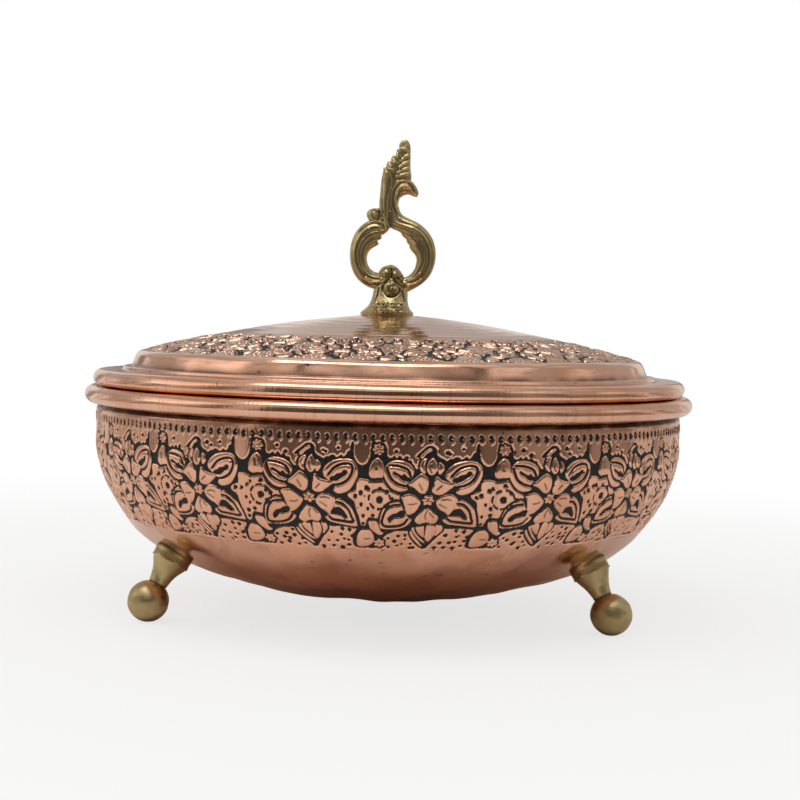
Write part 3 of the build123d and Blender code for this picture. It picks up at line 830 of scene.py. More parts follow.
def tin_material():
    """Hand-wiped tin lining inside the bowl and under the lid, wiped round except near the axis."""
    material, shader, place = new_material("wiped_tin")
    x, y = parts_of(place)[:2]
    cloud = grain(place, 45, 3)
    round_wipe = grain(round_place(place, 0.09, 1.0, 1.0), 90, 4)
    wipe = mix(stretch(x * x + y * y, 0.0001, 0.0014), cloud, round_wipe)
    tone = blend(stretch(cloud, 0.35, 0.7), bright_tin, dull_tin)
    coat(shader, tone, 1.0, stretch(wipe, 0.3, 0.7, 0.24, 0.42), wipe, 0.25, 0.0003)
    return material


def brass_material(name, low_rough, high_rough):
    """Sand-cast brass: yellow where it is rubbed, brown-green in its hollows, faintly pitted."""
    material, shader, place = new_material(name)
    cloud = grain(place, 110, 4)
    pits = grain(place, 1300, 3)
    hollow = painted(place, "hollow")
    dark = hollow + (pits - 0.5) * 0.5
    tone = blend(stretch(cloud, 0.35, 0.7), bright_brass, dull_brass)
    tone = blend(stretch(dark, 0.15, 0.95, 0, 0.92), tone, brass_dirt)
    roughness = stretch(cloud, 0.3, 0.75, low_rough, high_rough) + hollow * 0.15
    coat(shader, tone, 1.0, roughness, pits * 0.6 + grain(place, 420, 2) * 0.6, 0.22, 0.0003)
    return material


def plain_metal(name, colour, worn_colour, low_rough, high_rough):
    """Steel, iron or soft copper of the hidden fixings: two tones and a light tooth."""
    material, shader, place = new_material(name)
    cloud = grain(place, 260, 4)
    tone = blend(stretch(cloud, 0.35, 0.7), colour, worn_colour)
    roughness = stretch(cloud, 0.3, 0.7, low_rough, high_rough)
    coat(shader, tone, 1.0, roughness, grain(place, 1800, 2), 0.2, 0.0002)
    return material


copper = copper_material()
tin = tin_material()
brass = brass_material("cast_brass", 0.24, 0.36)
foot_brass = brass_material("turned_brass", 0.30, 0.44)


# Outlines of the two sheet pieces, as (radius, height)
bead_bed = bead_r - sheet
bead_crease = sqrt(bead_r ** 2 - bead_bed ** 2)
bead_half_turn = degrees(atan2(bead_crease, bead_bed))
bead_points = 34
bowl_bead = (rim_r - bead_r, rim_z)
lid_bead = (lid_rim_r - bead_r, lid_bead_z)
neck_bend_r = 1.2
flange_z = lid_bead_z + bead_r
step_top_z = flange_z + step_height
step_outer_r = lid_bead[0] - flange_width
step_inner_r = step_outer_r - 0.5
step_bend_r = 0.5
riser_foot_r = step_inner_r - step_width
riser_top_z = step_top_z + riser_height
riser_top_r = riser_foot_r - riser_height * tan(riser_lean)
shoulder_bend_r = 3.2
dome_chord = sqrt((riser_top_r - landing_r) ** 2 + (landing_z - riser_top_z) ** 2)
dome_radius = dome_chord ** 2 / (8 * dome_bulge) + dome_bulge / 2
dome_tilt = atan2(landing_z - riser_top_z, riser_top_r - landing_r)
dome_drop = dome_radius - dome_bulge
dome_centre_r = (riser_top_r + landing_r) / 2 - dome_drop * sin(dome_tilt)
dome_centre_z = (riser_top_z + landing_z) / 2 - dome_drop * cos(dome_tilt)


def dome_face(radius):
    """Point and outward normal of the lid's dome at a distance from the axis: the dome is an arc, its rise
    the root of radius^2 - across^2."""
    across = np.asarray(radius, float) - dome_centre_r
    rise = np.sqrt(dome_radius ** 2 - across ** 2)
    point = np.stack([dome_centre_r + across, dome_centre_z + rise], -1)
    return point, np.stack([across, rise], -1) / dome_radius


def make_bowl():
    """The bowl: bottom, chased zone set back for its band, neck and rolled rim, then the tinned inside."""
    wall_end, side_end = -degrees(wall_turn_end), -degrees(side_turn_end)
    floor = even(line((pole_r, bowl_bottom_z), (base_arc_r, bowl_bottom_z)), 2.4)
    base = even(arc((base_arc_r, base_arc_z), base_turn_radius, -90, side_end), 1.9)
    side_length = (side_turn_end - wall_turn_end) * side_turn_radius
    side_low = flower_drop - wall_turn_end * wall_turn_radius - side_length
    side = bowl_face(np.linspace(side_low, bowl_band_bottom, 17))[0]
    seat, seat_normal = bowl_face(np.linspace(bowl_band_bottom, bowl_band_top, 30))
    top = bowl_face(bowl_band_top)[0]
    neck_foot, neck_top = (wall_r, neck_foot_z), (neck_r, neck_top_z)
    above, below = (neck_r, rim_z), (wall_r, wall_arc_z)
    crease = (neck_r, bowl_bead[1] - bead_crease)
    bead = arc(bowl_bead, bead_r, -180 + bead_half_turn, 180, bead_points)
    outside = chain(floor, base, side, seat - seat_normal * band_seat, top,
                    bends(neck_bend_r, 8, below, neck_foot, neck_top, above), crease, bead)
    inner_neck = bends(neck_bend_r, 8, above, neck_top, neck_foot, below) - (sheet, 0)
    inner_wall = line((wall_r - sheet, neck_foot_z - 1), (wall_r - sheet, wall_arc_z))
    turn = arc((wall_arc_r, wall_arc_z), wall_turn_radius - sheet, 0, wall_end)
    low_side = arc((side_arc_r, side_arc_z), side_turn_radius - sheet, wall_end, side_end)
    low_base = arc((base_arc_r, base_arc_z), base_turn_radius - sheet, side_end, -90)
    inner_floor = line((base_arc_r, bowl_bottom_z + sheet), (pole_r, bowl_bottom_z + sheet))
    path = chain(outside, inner_neck, even(inner_wall, 3.0), even(turn, 3.0), even(low_side, 3.0),
                 even(low_base, 3.2), even(inner_floor, 4.0))
    is_inside = np.arange(len(path)) >= len(outside)
    radius, height = path[:, 0], path[:, 1]
    on_bead = (radius > neck_r + 0.01) & (height > neck_top_z) | (height > rim_z)
    points = carried(path, all_round)
    dents = wall_dents(points) * (1 - ease(neck_foot_z - 1.0, neck_top_z, points[..., 2]))
    amount = np.where(on_bead[:, None], bead_waver(points, seed=41), dents)
    amount[is_inside] *= -1
    points = lifted(points, outward(path), all_round, amount)
    # Painted shade: the tint darkens the neck crease and the underside of the bead, where shade falls, and the
    # ink paints a thin black line of shade along the crease
    neck_crease_shade = np.exp(-((height - neck_top_z + 0.5) / 1.1) ** 4) * ~is_inside
    bead_underside_shade = 0.9 * on_bead * (1 - ease(rim_z - 2.6, rim_z - 1.9, height))
    painted_shade = np.maximum(neck_crease_shade, bead_underside_shade)[:, None] * np.clip(0.9 + 0.25 * wander(points, 7, seed=43), 0, 1)
    black = 0.08 - np.abs(height - neck_top_z)[:, None] + 0.18 * wander(points, 11, seed=44)
    black = np.where(is_inside[:, None], -1.0, np.clip(black, -1, 1))
    piece = surface("bowl_body", points, [copper, tin], low_pole=(0, 0, bowl_bottom_z),
                    high_pole=(0, 0, bowl_bottom_z + sheet), values={"ink": black, "tint": painted_shade},
                    row_material=is_inside.astype(int))
    return dress(piece, "dish", "copper_bowl", "bowl")


def make_bowl_band(sector):
    """A stretch of the bowl's chased band: the motif on the wall's true face, with its row of punches."""
    up = np.linspace(bowl_band_bottom, bowl_band_top, bowl_band_rows)
    cell, relief = chased_cells(sector, bowl_band_columns, up, swelling=0.14, first_seed=0, seeds=bowl_cells)
    face, normal = bowl_face(up)
    azimuth = np.radians(flower_azimuth(cell))
    base = carried(face, azimuth)
    raised = relief.copper()
    punch, pits = punch_marks(relief.u, up)
    calm = 1 - ease(bowl_band_top - 0.5, bowl_band_top, up)[:, None]
    height = relief_height(raised, relief, base, bowl_band_depth) + punch * calm + wall_dents(base)
    outer = lifted(base, normal, azimuth, height)
    held = held_rows(bowl_band_rows, bowl_band_back_rows)
    back_height = wall_dents(base[held]) + band_skin - band_seat
    inner = lifted(base[held], normal[held], azimuth, back_height)
    slit = 1 - ease(-0.12, 0.16, relief.scratches)
    values = {"ink": np.maximum(-raised, pits), "tint": slit}
    return dress(shell_patch(f"bowl_band_{sector + 1}", outer, inner, values), "dish", "copper_bowl", "bowl")


def punch_marks(across, up):
    """A row of upright oval pits under the rim, each crossed by a little bar and with a raised lip on its
    right: their height, and how far inside the blackened hollow each point is."""
    pitch = bowl_cell_width / punches_per_cell
    u, v = np.meshgrid(across, up)
    number = np.round(u / pitch)
    off = u - number * pitch - np.sin(number * 12.9898) * 0.12
    rise = v - punch_row - 0.15 * np.sin(number * 7.77)
    away = np.hypot(off / punch_half_width, rise / punch_half_height)
    bar_side = np.sign(np.sin(number * 5.3))
    bar = mound(rise - 0.1 * np.sin(number * 3.1), 0.17) * ease(0.45, -0.1, off * bar_side)
    lip = mound(away - 1.45, 0.28) * ease(-0.2, 0.6, off)
    pit = 1 - ease(0.75, 1.15, away)
    strength = 0.85 + 0.2 * np.sin(number * 4.37)
    height = (0.2 * lip - 0.34 * pit * (1 - 0.8 * bar)) * strength
    return height, 0.35 * (1.05 - away) - 0.4 * bar


def make_lid():
    """The lid: tinned underside, rolled rim, flange, step, riser, and the dome set back for its band."""
    bead_top = (lid_bead[0], flange_z)
    flange_edge, step_inner = (step_outer_r, flange_z), (step_inner_r, step_top_z)
    riser_foot, riser_top = (riser_foot_r, step_top_z), (riser_top_r, riser_top_z)
    slope = dome_face(riser_top_r)[1]
    inward = (riser_top_r - slope[1] * 10, riser_top_z + slope[0] * 10)
    flange = even(line(bead_top, (step_outer_r + 0.6, flange_z)), 1.0)
    step = bends(step_bend_r, 6, bead_top, flange_edge, step_inner, riser_foot, riser_top)
    shoulder = bend(riser_foot, riser_top, inward, shoulder_bend_r, 10)
    riser = even(line(step[-1], shoulder[0]), 0.8)
    seat, seat_normal = dome_face(np.linspace(lid_band_outer_r, lid_band_inner_r, 16))
    dome = dome_face(np.linspace(lid_band_inner_r, landing_r, 78))[0]
    landing = even(line((landing_r, landing_z), (pole_r, landing_z)), 1.8)
    upper = chain(flange, step, riser, shoulder, dome_face(lid_band_outer_r)[0],
                  seat - seat_normal * band_seat, dome, landing)
    bead = arc(lid_bead, bead_r, 180 - bead_half_turn, 450, bead_points)
    under_landing = line((pole_r, landing_z - sheet), (landing_r - 0.5, landing_z - sheet))
    under_dome = dome_face(np.linspace(landing_r, riser_top_r - 2.6, 34))[0] - (0, sheet)
    under_step = line(shoulder[0] - (sheet, sheet), (riser_foot_r - sheet, step_top_z - sheet),
                      (step_outer_r - sheet, step_top_z - sheet), (step_outer_r - sheet, flange_z - sheet))
    under_flange = line((step_outer_r - sheet + 0.4, flange_z - sheet), bead[0] - (0.2, 0))
    under = chain(even(under_landing, 2.4), under_dome, even(under_step, 0.8), even(under_flange, 1.5))
    path = chain(under, bead, upper)
    row, radius = np.arange(len(path)), path[:, 0]
    on_dome = (row >= len(under) + len(bead)) & (radius < riser_top_r)
    on_bead = (row >= len(under)) & (radius > step_outer_r)
    points = carried(path, all_round)
    amount = dome_ripples(points) * on_dome[:, None] + bead_waver(points, seed=51) * on_bead[:, None]
    calm = ease(landing_r - 1, landing_r + 6, np.hypot(points[..., 0], points[..., 1]))
    points = lifted(points, outward(path), all_round, amount * calm)
    # Painted shade: the tint darkens the corner at the flange's inner edge and at the riser's foot, where shade
    # falls
    corners = np.minimum(np.abs(radius - step_outer_r - 0.5), np.abs(radius - riser_foot_r + 0.1))
    painted_shade = 0.9 * mound(corners, 0.4)[:, None] * np.clip(0.85 + 0.3 * wander(points, 9, seed=53), 0, 1)
    piece = surface("lid_body", points, [copper, tin], low_pole=(0, 0, landing_z - sheet),
                    high_pole=(0, 0, landing_z), row_material=(row < len(under)).astype(int),
                    values={"ink": np.full(points.shape[:2], -1.0), "tint": painted_shade})
    return dress(piece, "cover", "copper_lid", "lid")


def petal_flutes(u, v, figures, points):
    """Fine ridges on the lid's petals, spread like rays from each flower's eye: the cosine of 22 times
    the direction, waved a little, and faded out at the petals' edges and round the eye."""
    rays = np.cos(22 * np.arctan2(v, u) + 1.4 * wander(points, 9.0, seed=67))
    return 0.075 * rays * ease(0.05, 0.45, figures) * ease(1.6, 3.6, np.hypot(u, v))


def make_lid_band(sector):
    """A stretch of the lid's chased band: the same motif, smaller, its top towards the handle."""
    scale = 2 * pi * lid_flower_r / lid_cells / bowl_cell_width
    radius = np.linspace(lid_band_outer_r, lid_band_inner_r, lid_band_rows)
    up = (lid_flower_r - radius) / scale
    cell, relief = chased_cells(sector, lid_band_columns, up, swelling=-0.12, first_seed=100, seeds=lid_cells)
    face, normal = dome_face(radius)
    azimuth = np.radians(-90 + lid_first_flower + cell * 360 / lid_cells)
    base = carried(face, azimuth)
    raised = relief.copper()
    off_eye = np.meshgrid((cell - cell.round()) * bowl_cell_width, up)
    flutes = petal_flutes(*off_eye, relief.figures, base)
    height = relief_height(raised, relief, base, lid_band_depth, fullness=0.26) + flutes
    calm = (ease(0, 0.8, radius - lid_band_inner_r) * ease(0, 0.5, lid_band_outer_r - radius))[:, None]
    outer = lifted(base, normal, azimuth, height * calm + dome_ripples(base))
    held = held_rows(lid_band_rows, lid_band_back_rows)
    inner = carried(face[held] - normal[held] * (band_seat - band_skin), azimuth)
    # The tint darkens the slits, paints shade in the troughs of the petals' flutes, and darkens the copper
    # between the petals
    slit = np.maximum(1 - ease(-0.10, 0.24, relief.scratches), 0.6 * ease(0, 0.06, -flutes))
    slit = np.maximum(slit, 0.34 * (1 - ease(-0.2, 0.1, relief.figures))) * calm
    values = {"ink": np.where(calm > 0.5, -raised, -1.0), "tint": slit}
    return dress(shell_patch(f"lid_band_{sector + 1}", outer, inner, values), "cover", "copper_lid", "lid")


# The cast handle, in millimetres right of and above the drawing's zero: edges run from foot to tip,
# each form's left edge on the left of its own direction
finial_zero = (0.25, 1.7)
boss_left = (
    (-10.4, -1.7), (-10.4, -0.9), (-9.3, 0.1), (-7.8, 1.6), (-6.9, 3.4), (-6.4, 5.4), (-6.1, 7.4),
    (-5.3, 9.4), (-4.9, 11.4), (-4.5, 12.9), (-3.5, 14.2), (-2, 14.9), (-0.7, 15.2),
)
boss_right = (
    (7.1, -1.7), (7.2, -0.8), (6.2, 0.3), (5.5, 1.8), (5.2, 3.8), (5.2, 5.8), (4.9, 7.8), (4.4, 9.8),
    (3.6, 11.6), (2.7, 13), (1.6, 14.2), (0.5, 14.9), (-0.4, 15.2),
)
left_arm_outer = (
    (-2.6, 6.4), (-5.2, 6.8), (-8, 7.6), (-10.6, 9.2), (-12.7, 11.6), (-13.9, 14.4), (-14.4, 17.5),
    (-14.3, 20.6), (-13.6, 23.6), (-12.3, 26.2), (-10.4, 28.3), (-8.1, 29.7), (-5.6, 30.2), (-3.6, 29.8),
    (-2.2, 28.7), (-1.5, 27.4),
)
left_arm_inner = (
    (-2.2, 10.2), (-3.4, 11.6), (-4.8, 12.4), (-6.2, 12.8), (-7.5, 13.8), (-8.4, 15.3), (-8.7, 17.2),
    (-8.3, 18.9), (-7.4, 20.2), (-6.2, 21), (-5.1, 21.7), (-4.9, 22.4), (-5.3, 23), (-4.4, 23.5),
    (-3.9, 24.1), (-4.1, 24.8), (-3.2, 25.3), (-2.3, 26), (-1.7, 26.7),
)
right_arm_inner = (
    (2.2, 9.4), (3.4, 10.8), (4.8, 11.4), (6.1, 12.4), (7.2, 13.9), (7.7, 15.7), (7.8, 17.3), (7.2, 18.7),
    (6.2, 19.8), (5.4, 20.9), (5.3, 21.7), (4.5, 22.7), (4.1, 23.8), (3, 24.8), (2.3, 25.9), (0.9, 26.6),
    (-0.7, 27.3), (-1.5, 28.6), (-1.4, 30.2),
)
right_arm_outer = (
    (2.6, 5.6), (5.2, 6.3), (8, 7.8), (10.5, 9.6), (12.5, 12), (13.7, 14.8), (14.2, 17.8), (14.1, 20.6),
    (13.4, 23.2), (12.1, 25.6), (10.2, 27.7), (8, 29.3), (5.6, 30.4), (3.6, 31.3), (2.2, 32.6), (1.5, 34.6),
)
leaf_left = (
    (-2.6, 27), (-4, 29.6), (-4.8, 32.5), (-5, 35.5), (-4.8, 38.5), (-4.6, 41.5), (-4.3, 44.2), (-3.9, 46.2),
    (-3.9, 47.3), (-3.1, 47.4), (-2.8, 48.6), (-2.4, 49.4), (-1.6, 49.3), (-1.3, 50.5), (-0.8, 51.3),
    (0, 51.2), (0.3, 52.4), (0.6, 53.4), (1.2, 53.6), (1.2, 54.8), (1.5, 55.7), (2.1, 56.3), (2.8, 56.6),
)
leaf_right = (
    (1.2, 28), (1.3, 31), (1.3, 33.5), (1.4, 35.6), (1.9, 37.6), (3, 39.4), (4.4, 41.2), (5.4, 43.2),
    (5.5, 45), (5.2, 46.6), (5.1, 48.6), (5.1, 50.6), (5.05, 52.6), (5, 54.2), (4.7, 55.4), (4.1, 56.3),
    (3.4, 56.6),
)
hook_left = (
    (1.4, 29.6), (0.6, 30.8), (-0.4, 32.2), (-1.1, 33.8), (-1.5, 36), (-1.6, 38.4), (-1.1, 40.8), (0.1, 42.7),
    (2.1, 43.9), (4.2, 43.8), (5.8, 42.9), (7, 41.5), (7.8, 40), (8, 38.9), (7.8, 38.4),
)
hook_right = (
    (4.6, 30.6), (3.2, 31.3), (2.1, 32.3), (1.5, 33.8), (1.3, 35.6), (1.7, 37), (2.6, 37.9), (3.7, 38.4),
    (4.8, 38.5), (5.8, 38.2), (6.6, 37.9), (7.3, 37.8), (7.6, 38),
)
berry_left = ((-6.6, 28.6), (-8.2, 29.6), (-9, 31), (-9, 32.3), (-8.3, 33.2), (-7.2, 33.7), (-6.4, 33.8))
berry_right = ((-3.6, 28.6), (-3, 30), (-2.8, 31.6), (-3.2, 33), (-4.2, 33.7), (-5.2, 33.8), (-5.8, 33.8))
left_arm_flutes = (
    ((-4.2, 8.3), (-7.5, 8.7), (-10, 10), (-12, 12.4), (-13.2, 15.2), (-13.5, 18.5), (-13.1, 22),
     (-11.9, 24.9), (-9.8, 27.2), (-7.3, 28.4), (-5.3, 28.4), (-4, 27.7)),
    ((-3.8, 10.1), (-6.5, 10.3), (-9, 11.5), (-10.9, 13.8), (-11.9, 16.8), (-11.9, 19.7), (-11, 22.5),
     (-9.2, 24.8), (-6.8, 26.1), (-4.6, 26.4), (-3.2, 25.6)),
    ((-4.6, 11.4), (-6.8, 11.6), (-8.9, 13.3), (-10.1, 15.8), (-10.4, 18.5), (-9.7, 21), (-8.2, 22.9),
     (-6.3, 23.9), (-4.6, 23.8)),
)
right_arm_flutes = (
    ((5.6, 7.4), (9, 9.1), (11.4, 11.8), (12.8, 15), (13.1, 18), (12.7, 21), (11.4, 24), (9.3, 26.4),
     (6.6, 28), (3.6, 28.8), (1.2, 29.6), (0, 31.4)),
    ((4.8, 8.6), (8.3, 10.3), (10.3, 12.6), (11.5, 15.5), (11.8, 18.3), (11.2, 21.2), (9.8, 23.8),
     (7.8, 25.7), (5.3, 26.8), (2.8, 27.3), (0.6, 28)),
    ((4.2, 9.8), (7.2, 11.2), (9.1, 13.4), (10.2, 16), (10.4, 18.5), (9.8, 21), (8.5, 23.2), (6.6, 24.8),
     (4.6, 25.5), (2.8, 25.6)),
)
arm_ridges = (
    ((-2.8, 10.9), (-4.6, 9.4), (-6.6, 9.5), (-8.6, 10.6)), ((-5.4, 7.6), (-8, 8.1), (-10.2, 9.2)),
    ((4.8, 8.6), (7.6, 9), (9.6, 10.4)), ((5.4, 9.9), (7.4, 10.9), (9, 12.4)),
    ((-11.5, 26.5), (-8, 29), (-5.5, 29.7), (-3, 28.8), (-2.2, 27.3)),
)
leaf_flutes = (
    ((-4.1, 44), (-4, 40), (-3.9, 36), (-3.5, 32)),
    ((-3.3, 47.3), (-1.8, 45.2), (-1.1, 42.5), (-1.6, 39.5), (-2.5, 36), (-2.4, 31)),
    ((-2.2, 49.3), (-0.8, 47.2), (0.1, 44.4), (-0.2, 41), (-1.2, 37.5), (-1.3, 33)),
    ((-1, 51.3), (0.3, 49), (1.2, 46.2), (1, 43.2)), ((0.5, 53.4), (1.5, 51), (2, 48.4), (1.9, 45.6)),
    ((1.4, 55.2), (2.3, 53), (2.6, 50.5)),
)
leaf_veins = (
    ((0.9, 44.3), (2.8, 44.9), (5, 45.5)), ((1.1, 45.5), (2.9, 46.6), (5, 47.5)),
    ((1.5, 47.3), (3, 48.6), (4.9, 49.4)), ((2.1, 49.6), (3.2, 50.8), (4.6, 51.7)),
    ((1.8, 53.8), (3, 53.5), (4.2, 52.8)), ((-3.5, 46.9), (-2.9, 45.4)), ((-2.4, 49), (-1.4, 47.6)),
    ((-1, 50.6), (-0.1, 49)), ((0.4, 52.4), (1, 50.8)),
)
hook_ridges = (
    ((1.2, 30.6), (0, 32.4), (-0.7, 34.4), (-1, 37), (-0.8, 39.6), (0.4, 41.8), (2.4, 43.1), (4.6, 42.9),
     (6.2, 41.7), (7.2, 39.8)),
    ((0.6, 34.4), (0.3, 36.8), (0.9, 39.2), (2.2, 40.8), (3.8, 41.2), (5.2, 40.4)),
)
hook_flutes = (
    ((1.4, 31.6), (0.3, 33.2), (-0.2, 35.4), (-0.2, 38), (0.6, 40.4), (2.2, 42), (4.2, 42.2), (5.8, 41.2),
     (6.6, 39.8)),
    ((1, 37), (1.8, 39), (3.2, 39.9), (4.8, 39.6), (6, 38.8)),
)
berry_flutes = (((-5.6, 29.4), (-4.8, 31), (-4.9, 33.4)),)
berry_ridges = (((-6.1, 31.4), (-6.6, 32.2)), ((-5.6, 33.2), (-5, 33.3)))
boss_lines = (
    ((-0.3, 10.6), (-0.2, 12), (-0.3, 13.6)), ((0.4, 10.4), (1.9, 8.8), (3.8, 7.8)),
    ((1.6, 11), (3, 9.7), (4.6, 8.8)), ((-1, 10.2), (-2.6, 9), (-4.6, 8.6)),
    ((-4.4, 7.4), (-4.6, 5.2), (-5.6, 3.2)), ((3.4, 6.6), (3.7, 4.6), (4.4, 3.2)),
    ((-2.9, 8.4), (-3, 6.4), (-1.4, 4.6), (0.6, 4.5), (2.4, 5.6), (2.6, 7.2)),
)
# Bumps are (x, z, radius, height), and each row of lumps is (z, start, end, step)
boss_bumps = (
    (-2.5, 12.4, 1.5, 1), (1.6, 12.1, 1.5, 1), (-2.1, 14, 0.45, 0.4), (-0.9, 14.2, 0.4, 0.4),
    (0.4, 14, 0.4, 0.4), (-1.1, 7.7, 1.5, 0.8), (0.9, 6.8, 1.4, 0.8), (0.2, 8.7, 0.9, 0.5),
    (-0.9, 5.6, 0.8, 0.4), (3.1, 10.2, 0.9, 0.4), (-3.9, 10.4, 0.8, 0.4),
)
boss_lump_rows = ((2.6, -5.2, 3.8, 1.25), (1.5, -5.9, 4.4, 0.95), (0.5, -6.8, 5, 0.85), (-0.5, -8, 5.6, 1))


def nearest(x, z, strokes):
    """Distance from each point of the drawing to the nearest of several strokes."""
    away = np.full(x.shape, 9.0)
    for stroke in strokes:
        away = np.minimum(away, line_distance(x, z, through(stroke, closed=False, steps=4), False))
    return away


def cast_form(name, left, right, depth, rows, columns, flutes, ridges=(), bumps=(), flute=0.45,
              flute_reach=1.0, fullness=2.3, tarnish=1.0):
    """One form of the cast handle between two edges, front and back alike: its half depth is
    depth x (1 - |s|^fullness)^(1/2) at a place s between -1 and 1 across it. Flutes are grooves with
    rounded strips between them, ridges stand up, bumps are (x, z, radius, height)."""
    low, high = (recut(through(edge, closed=False, steps=10), rows) for edge in (left, right))
    s = -np.cos(np.linspace(0, pi, columns))[1:-1]
    share = (s + 1)[None, :, None] / 2
    face = low[:, None] * (1 - share) + high[:, None] * share
    x, z = face[..., 0], face[..., 1]
    along = np.linspace(0, 1, rows)
    half = np.interp(along, *zip(*depth))[:, None] * (1 - np.abs(s) ** fullness) ** 0.5
    away = nearest(x, z, flutes)
    relief = -flute * (1 - np.clip(away / flute_reach, 0, 1)) ** 2
    hollow = 0.8 * mound(away, 0.36)
    if ridges:
        away = nearest(x, z, ridges)
        relief += 0.42 * mound(away, 0.34)
        hollow = hollow * (1 - mound(away, 0.4)) + 0.5 * mound(away - 0.75, 0.3)
    for bump_x, bump_z, radius, height in bumps:
        away = np.hypot(x - bump_x, z - bump_z) / radius
        relief += height * np.sqrt(np.clip(1 - away ** 2, 0, 1))
        hollow = np.maximum(hollow, 0.75 * mound(away - 1.1, 0.16))
    place = np.stack([x, half, z], -1)
    relief += wander(place, 3.2, seed=61) * 0.03 + wander(place, 1.1, seed=62) * 0.008
    half = np.maximum(half + relief * (1 - np.abs(s) ** 8), 0.02)
    hollow = np.clip(np.maximum(hollow * tarnish, 0.35 * np.abs(s) ** 10), 0, 1)
    flat = np.concatenate([low[:, None], face, high[:, None], face[:, ::-1]], 1)
    edge = np.zeros((rows, 1))
    y = np.concatenate([edge, -half, edge, half[:, ::-1]], 1)
    shade = np.concatenate([edge, hollow, edge, hollow[:, ::-1]], 1)
    points = np.stack([flat[..., 0] + finial_zero[0], y, flat[..., 1] + finial_zero[1] + landing_z], -1)
    piece = surface(name, points, [brass], low_pole=points[0].mean(0), high_pole=points[-1].mean(0),
                    values={"hollow": shade}, sharp=50)
    return dress(piece, "cover", "cast_brass", "finial")


def make_finial():
    """The handle: a flared foot, two fluted scrolls round a finger hole, and a leaf that ends in a hook.
    Each form's depth is given as (share of its length, half depth)."""
    lumps = tuple((x + 0.25 * sin(9 * x + z), z + 0.22 * sin(5 * x), 0.48 + 0.14 * sin(7 * x + 3 * z),
                   0.5 + 0.25 * sin(11 * x))
                  for z, start, end, step in boss_lump_rows for x in np.arange(start, end, step))
    boss_depth = ((0, 8.4), (0.08, 8.4), (0.2, 6.4), (0.36, 4.9), (0.6, 4.3), (0.86, 3.4), (1, 0.8))
    cast_form("finial_boss", boss_left, boss_right, boss_depth, 130, 72, boss_lines,
              bumps=boss_bumps + lumps, flute=0.5, flute_reach=0.6, fullness=2.0)
    arm = {"rows": 230, "columns": 46, "ridges": arm_ridges, "flute": 0.3, "tarnish": 0.6}
    cast_form("finial_arm_left", left_arm_outer, left_arm_inner,
              ((0, 2.6), (0.3, 3.1), (0.75, 3.0), (1, 2.1)), flutes=left_arm_flutes, **arm)
    cast_form("finial_arm_right", right_arm_inner, right_arm_outer,
              ((0, 2.6), (0.3, 3.1), (0.75, 3.0), (1, 2.0)), flutes=right_arm_flutes, **arm)
    cast_form("finial_leaf", leaf_left, leaf_right, ((0, 2.4), (0.3, 2.6), (0.6, 2.1), (0.85, 1.5), (1, 0.5)),
              230, 56, leaf_flutes, leaf_veins, flute=0.3, flute_reach=0.7, tarnish=0.6)
    cast_form("finial_hook", hook_left, hook_right, ((0, 1.6), (0.2, 2.5), (0.75, 2.9), (1, 1.0)),
              170, 40, hook_flutes, hook_ridges, flute=0.34, flute_reach=0.8, tarnish=0.7)
    cast_form("finial_berry", berry_left, berry_right, ((0, 1.5), (0.35, 2.5), (0.8, 2.1), (1, 0.6)),
              60, 44, berry_flutes, berry_ridges)


# Feet, along their own tilted axes from the bowl's face
foot_mount_r = rim_r - 25.0
foot_tilt = radians(30)
foot_columns = 96
collar_r = 6.1
collar_height = 2.8
collar_grooves = (0.95, 1.5, 2.05)
neck_of_foot_r = 2.9
ball_r = 6.5
ball_flat_r = 1.5
foot_azimuths = {"foot_back": 90, "foot_left": 210, "foot_right": 330}


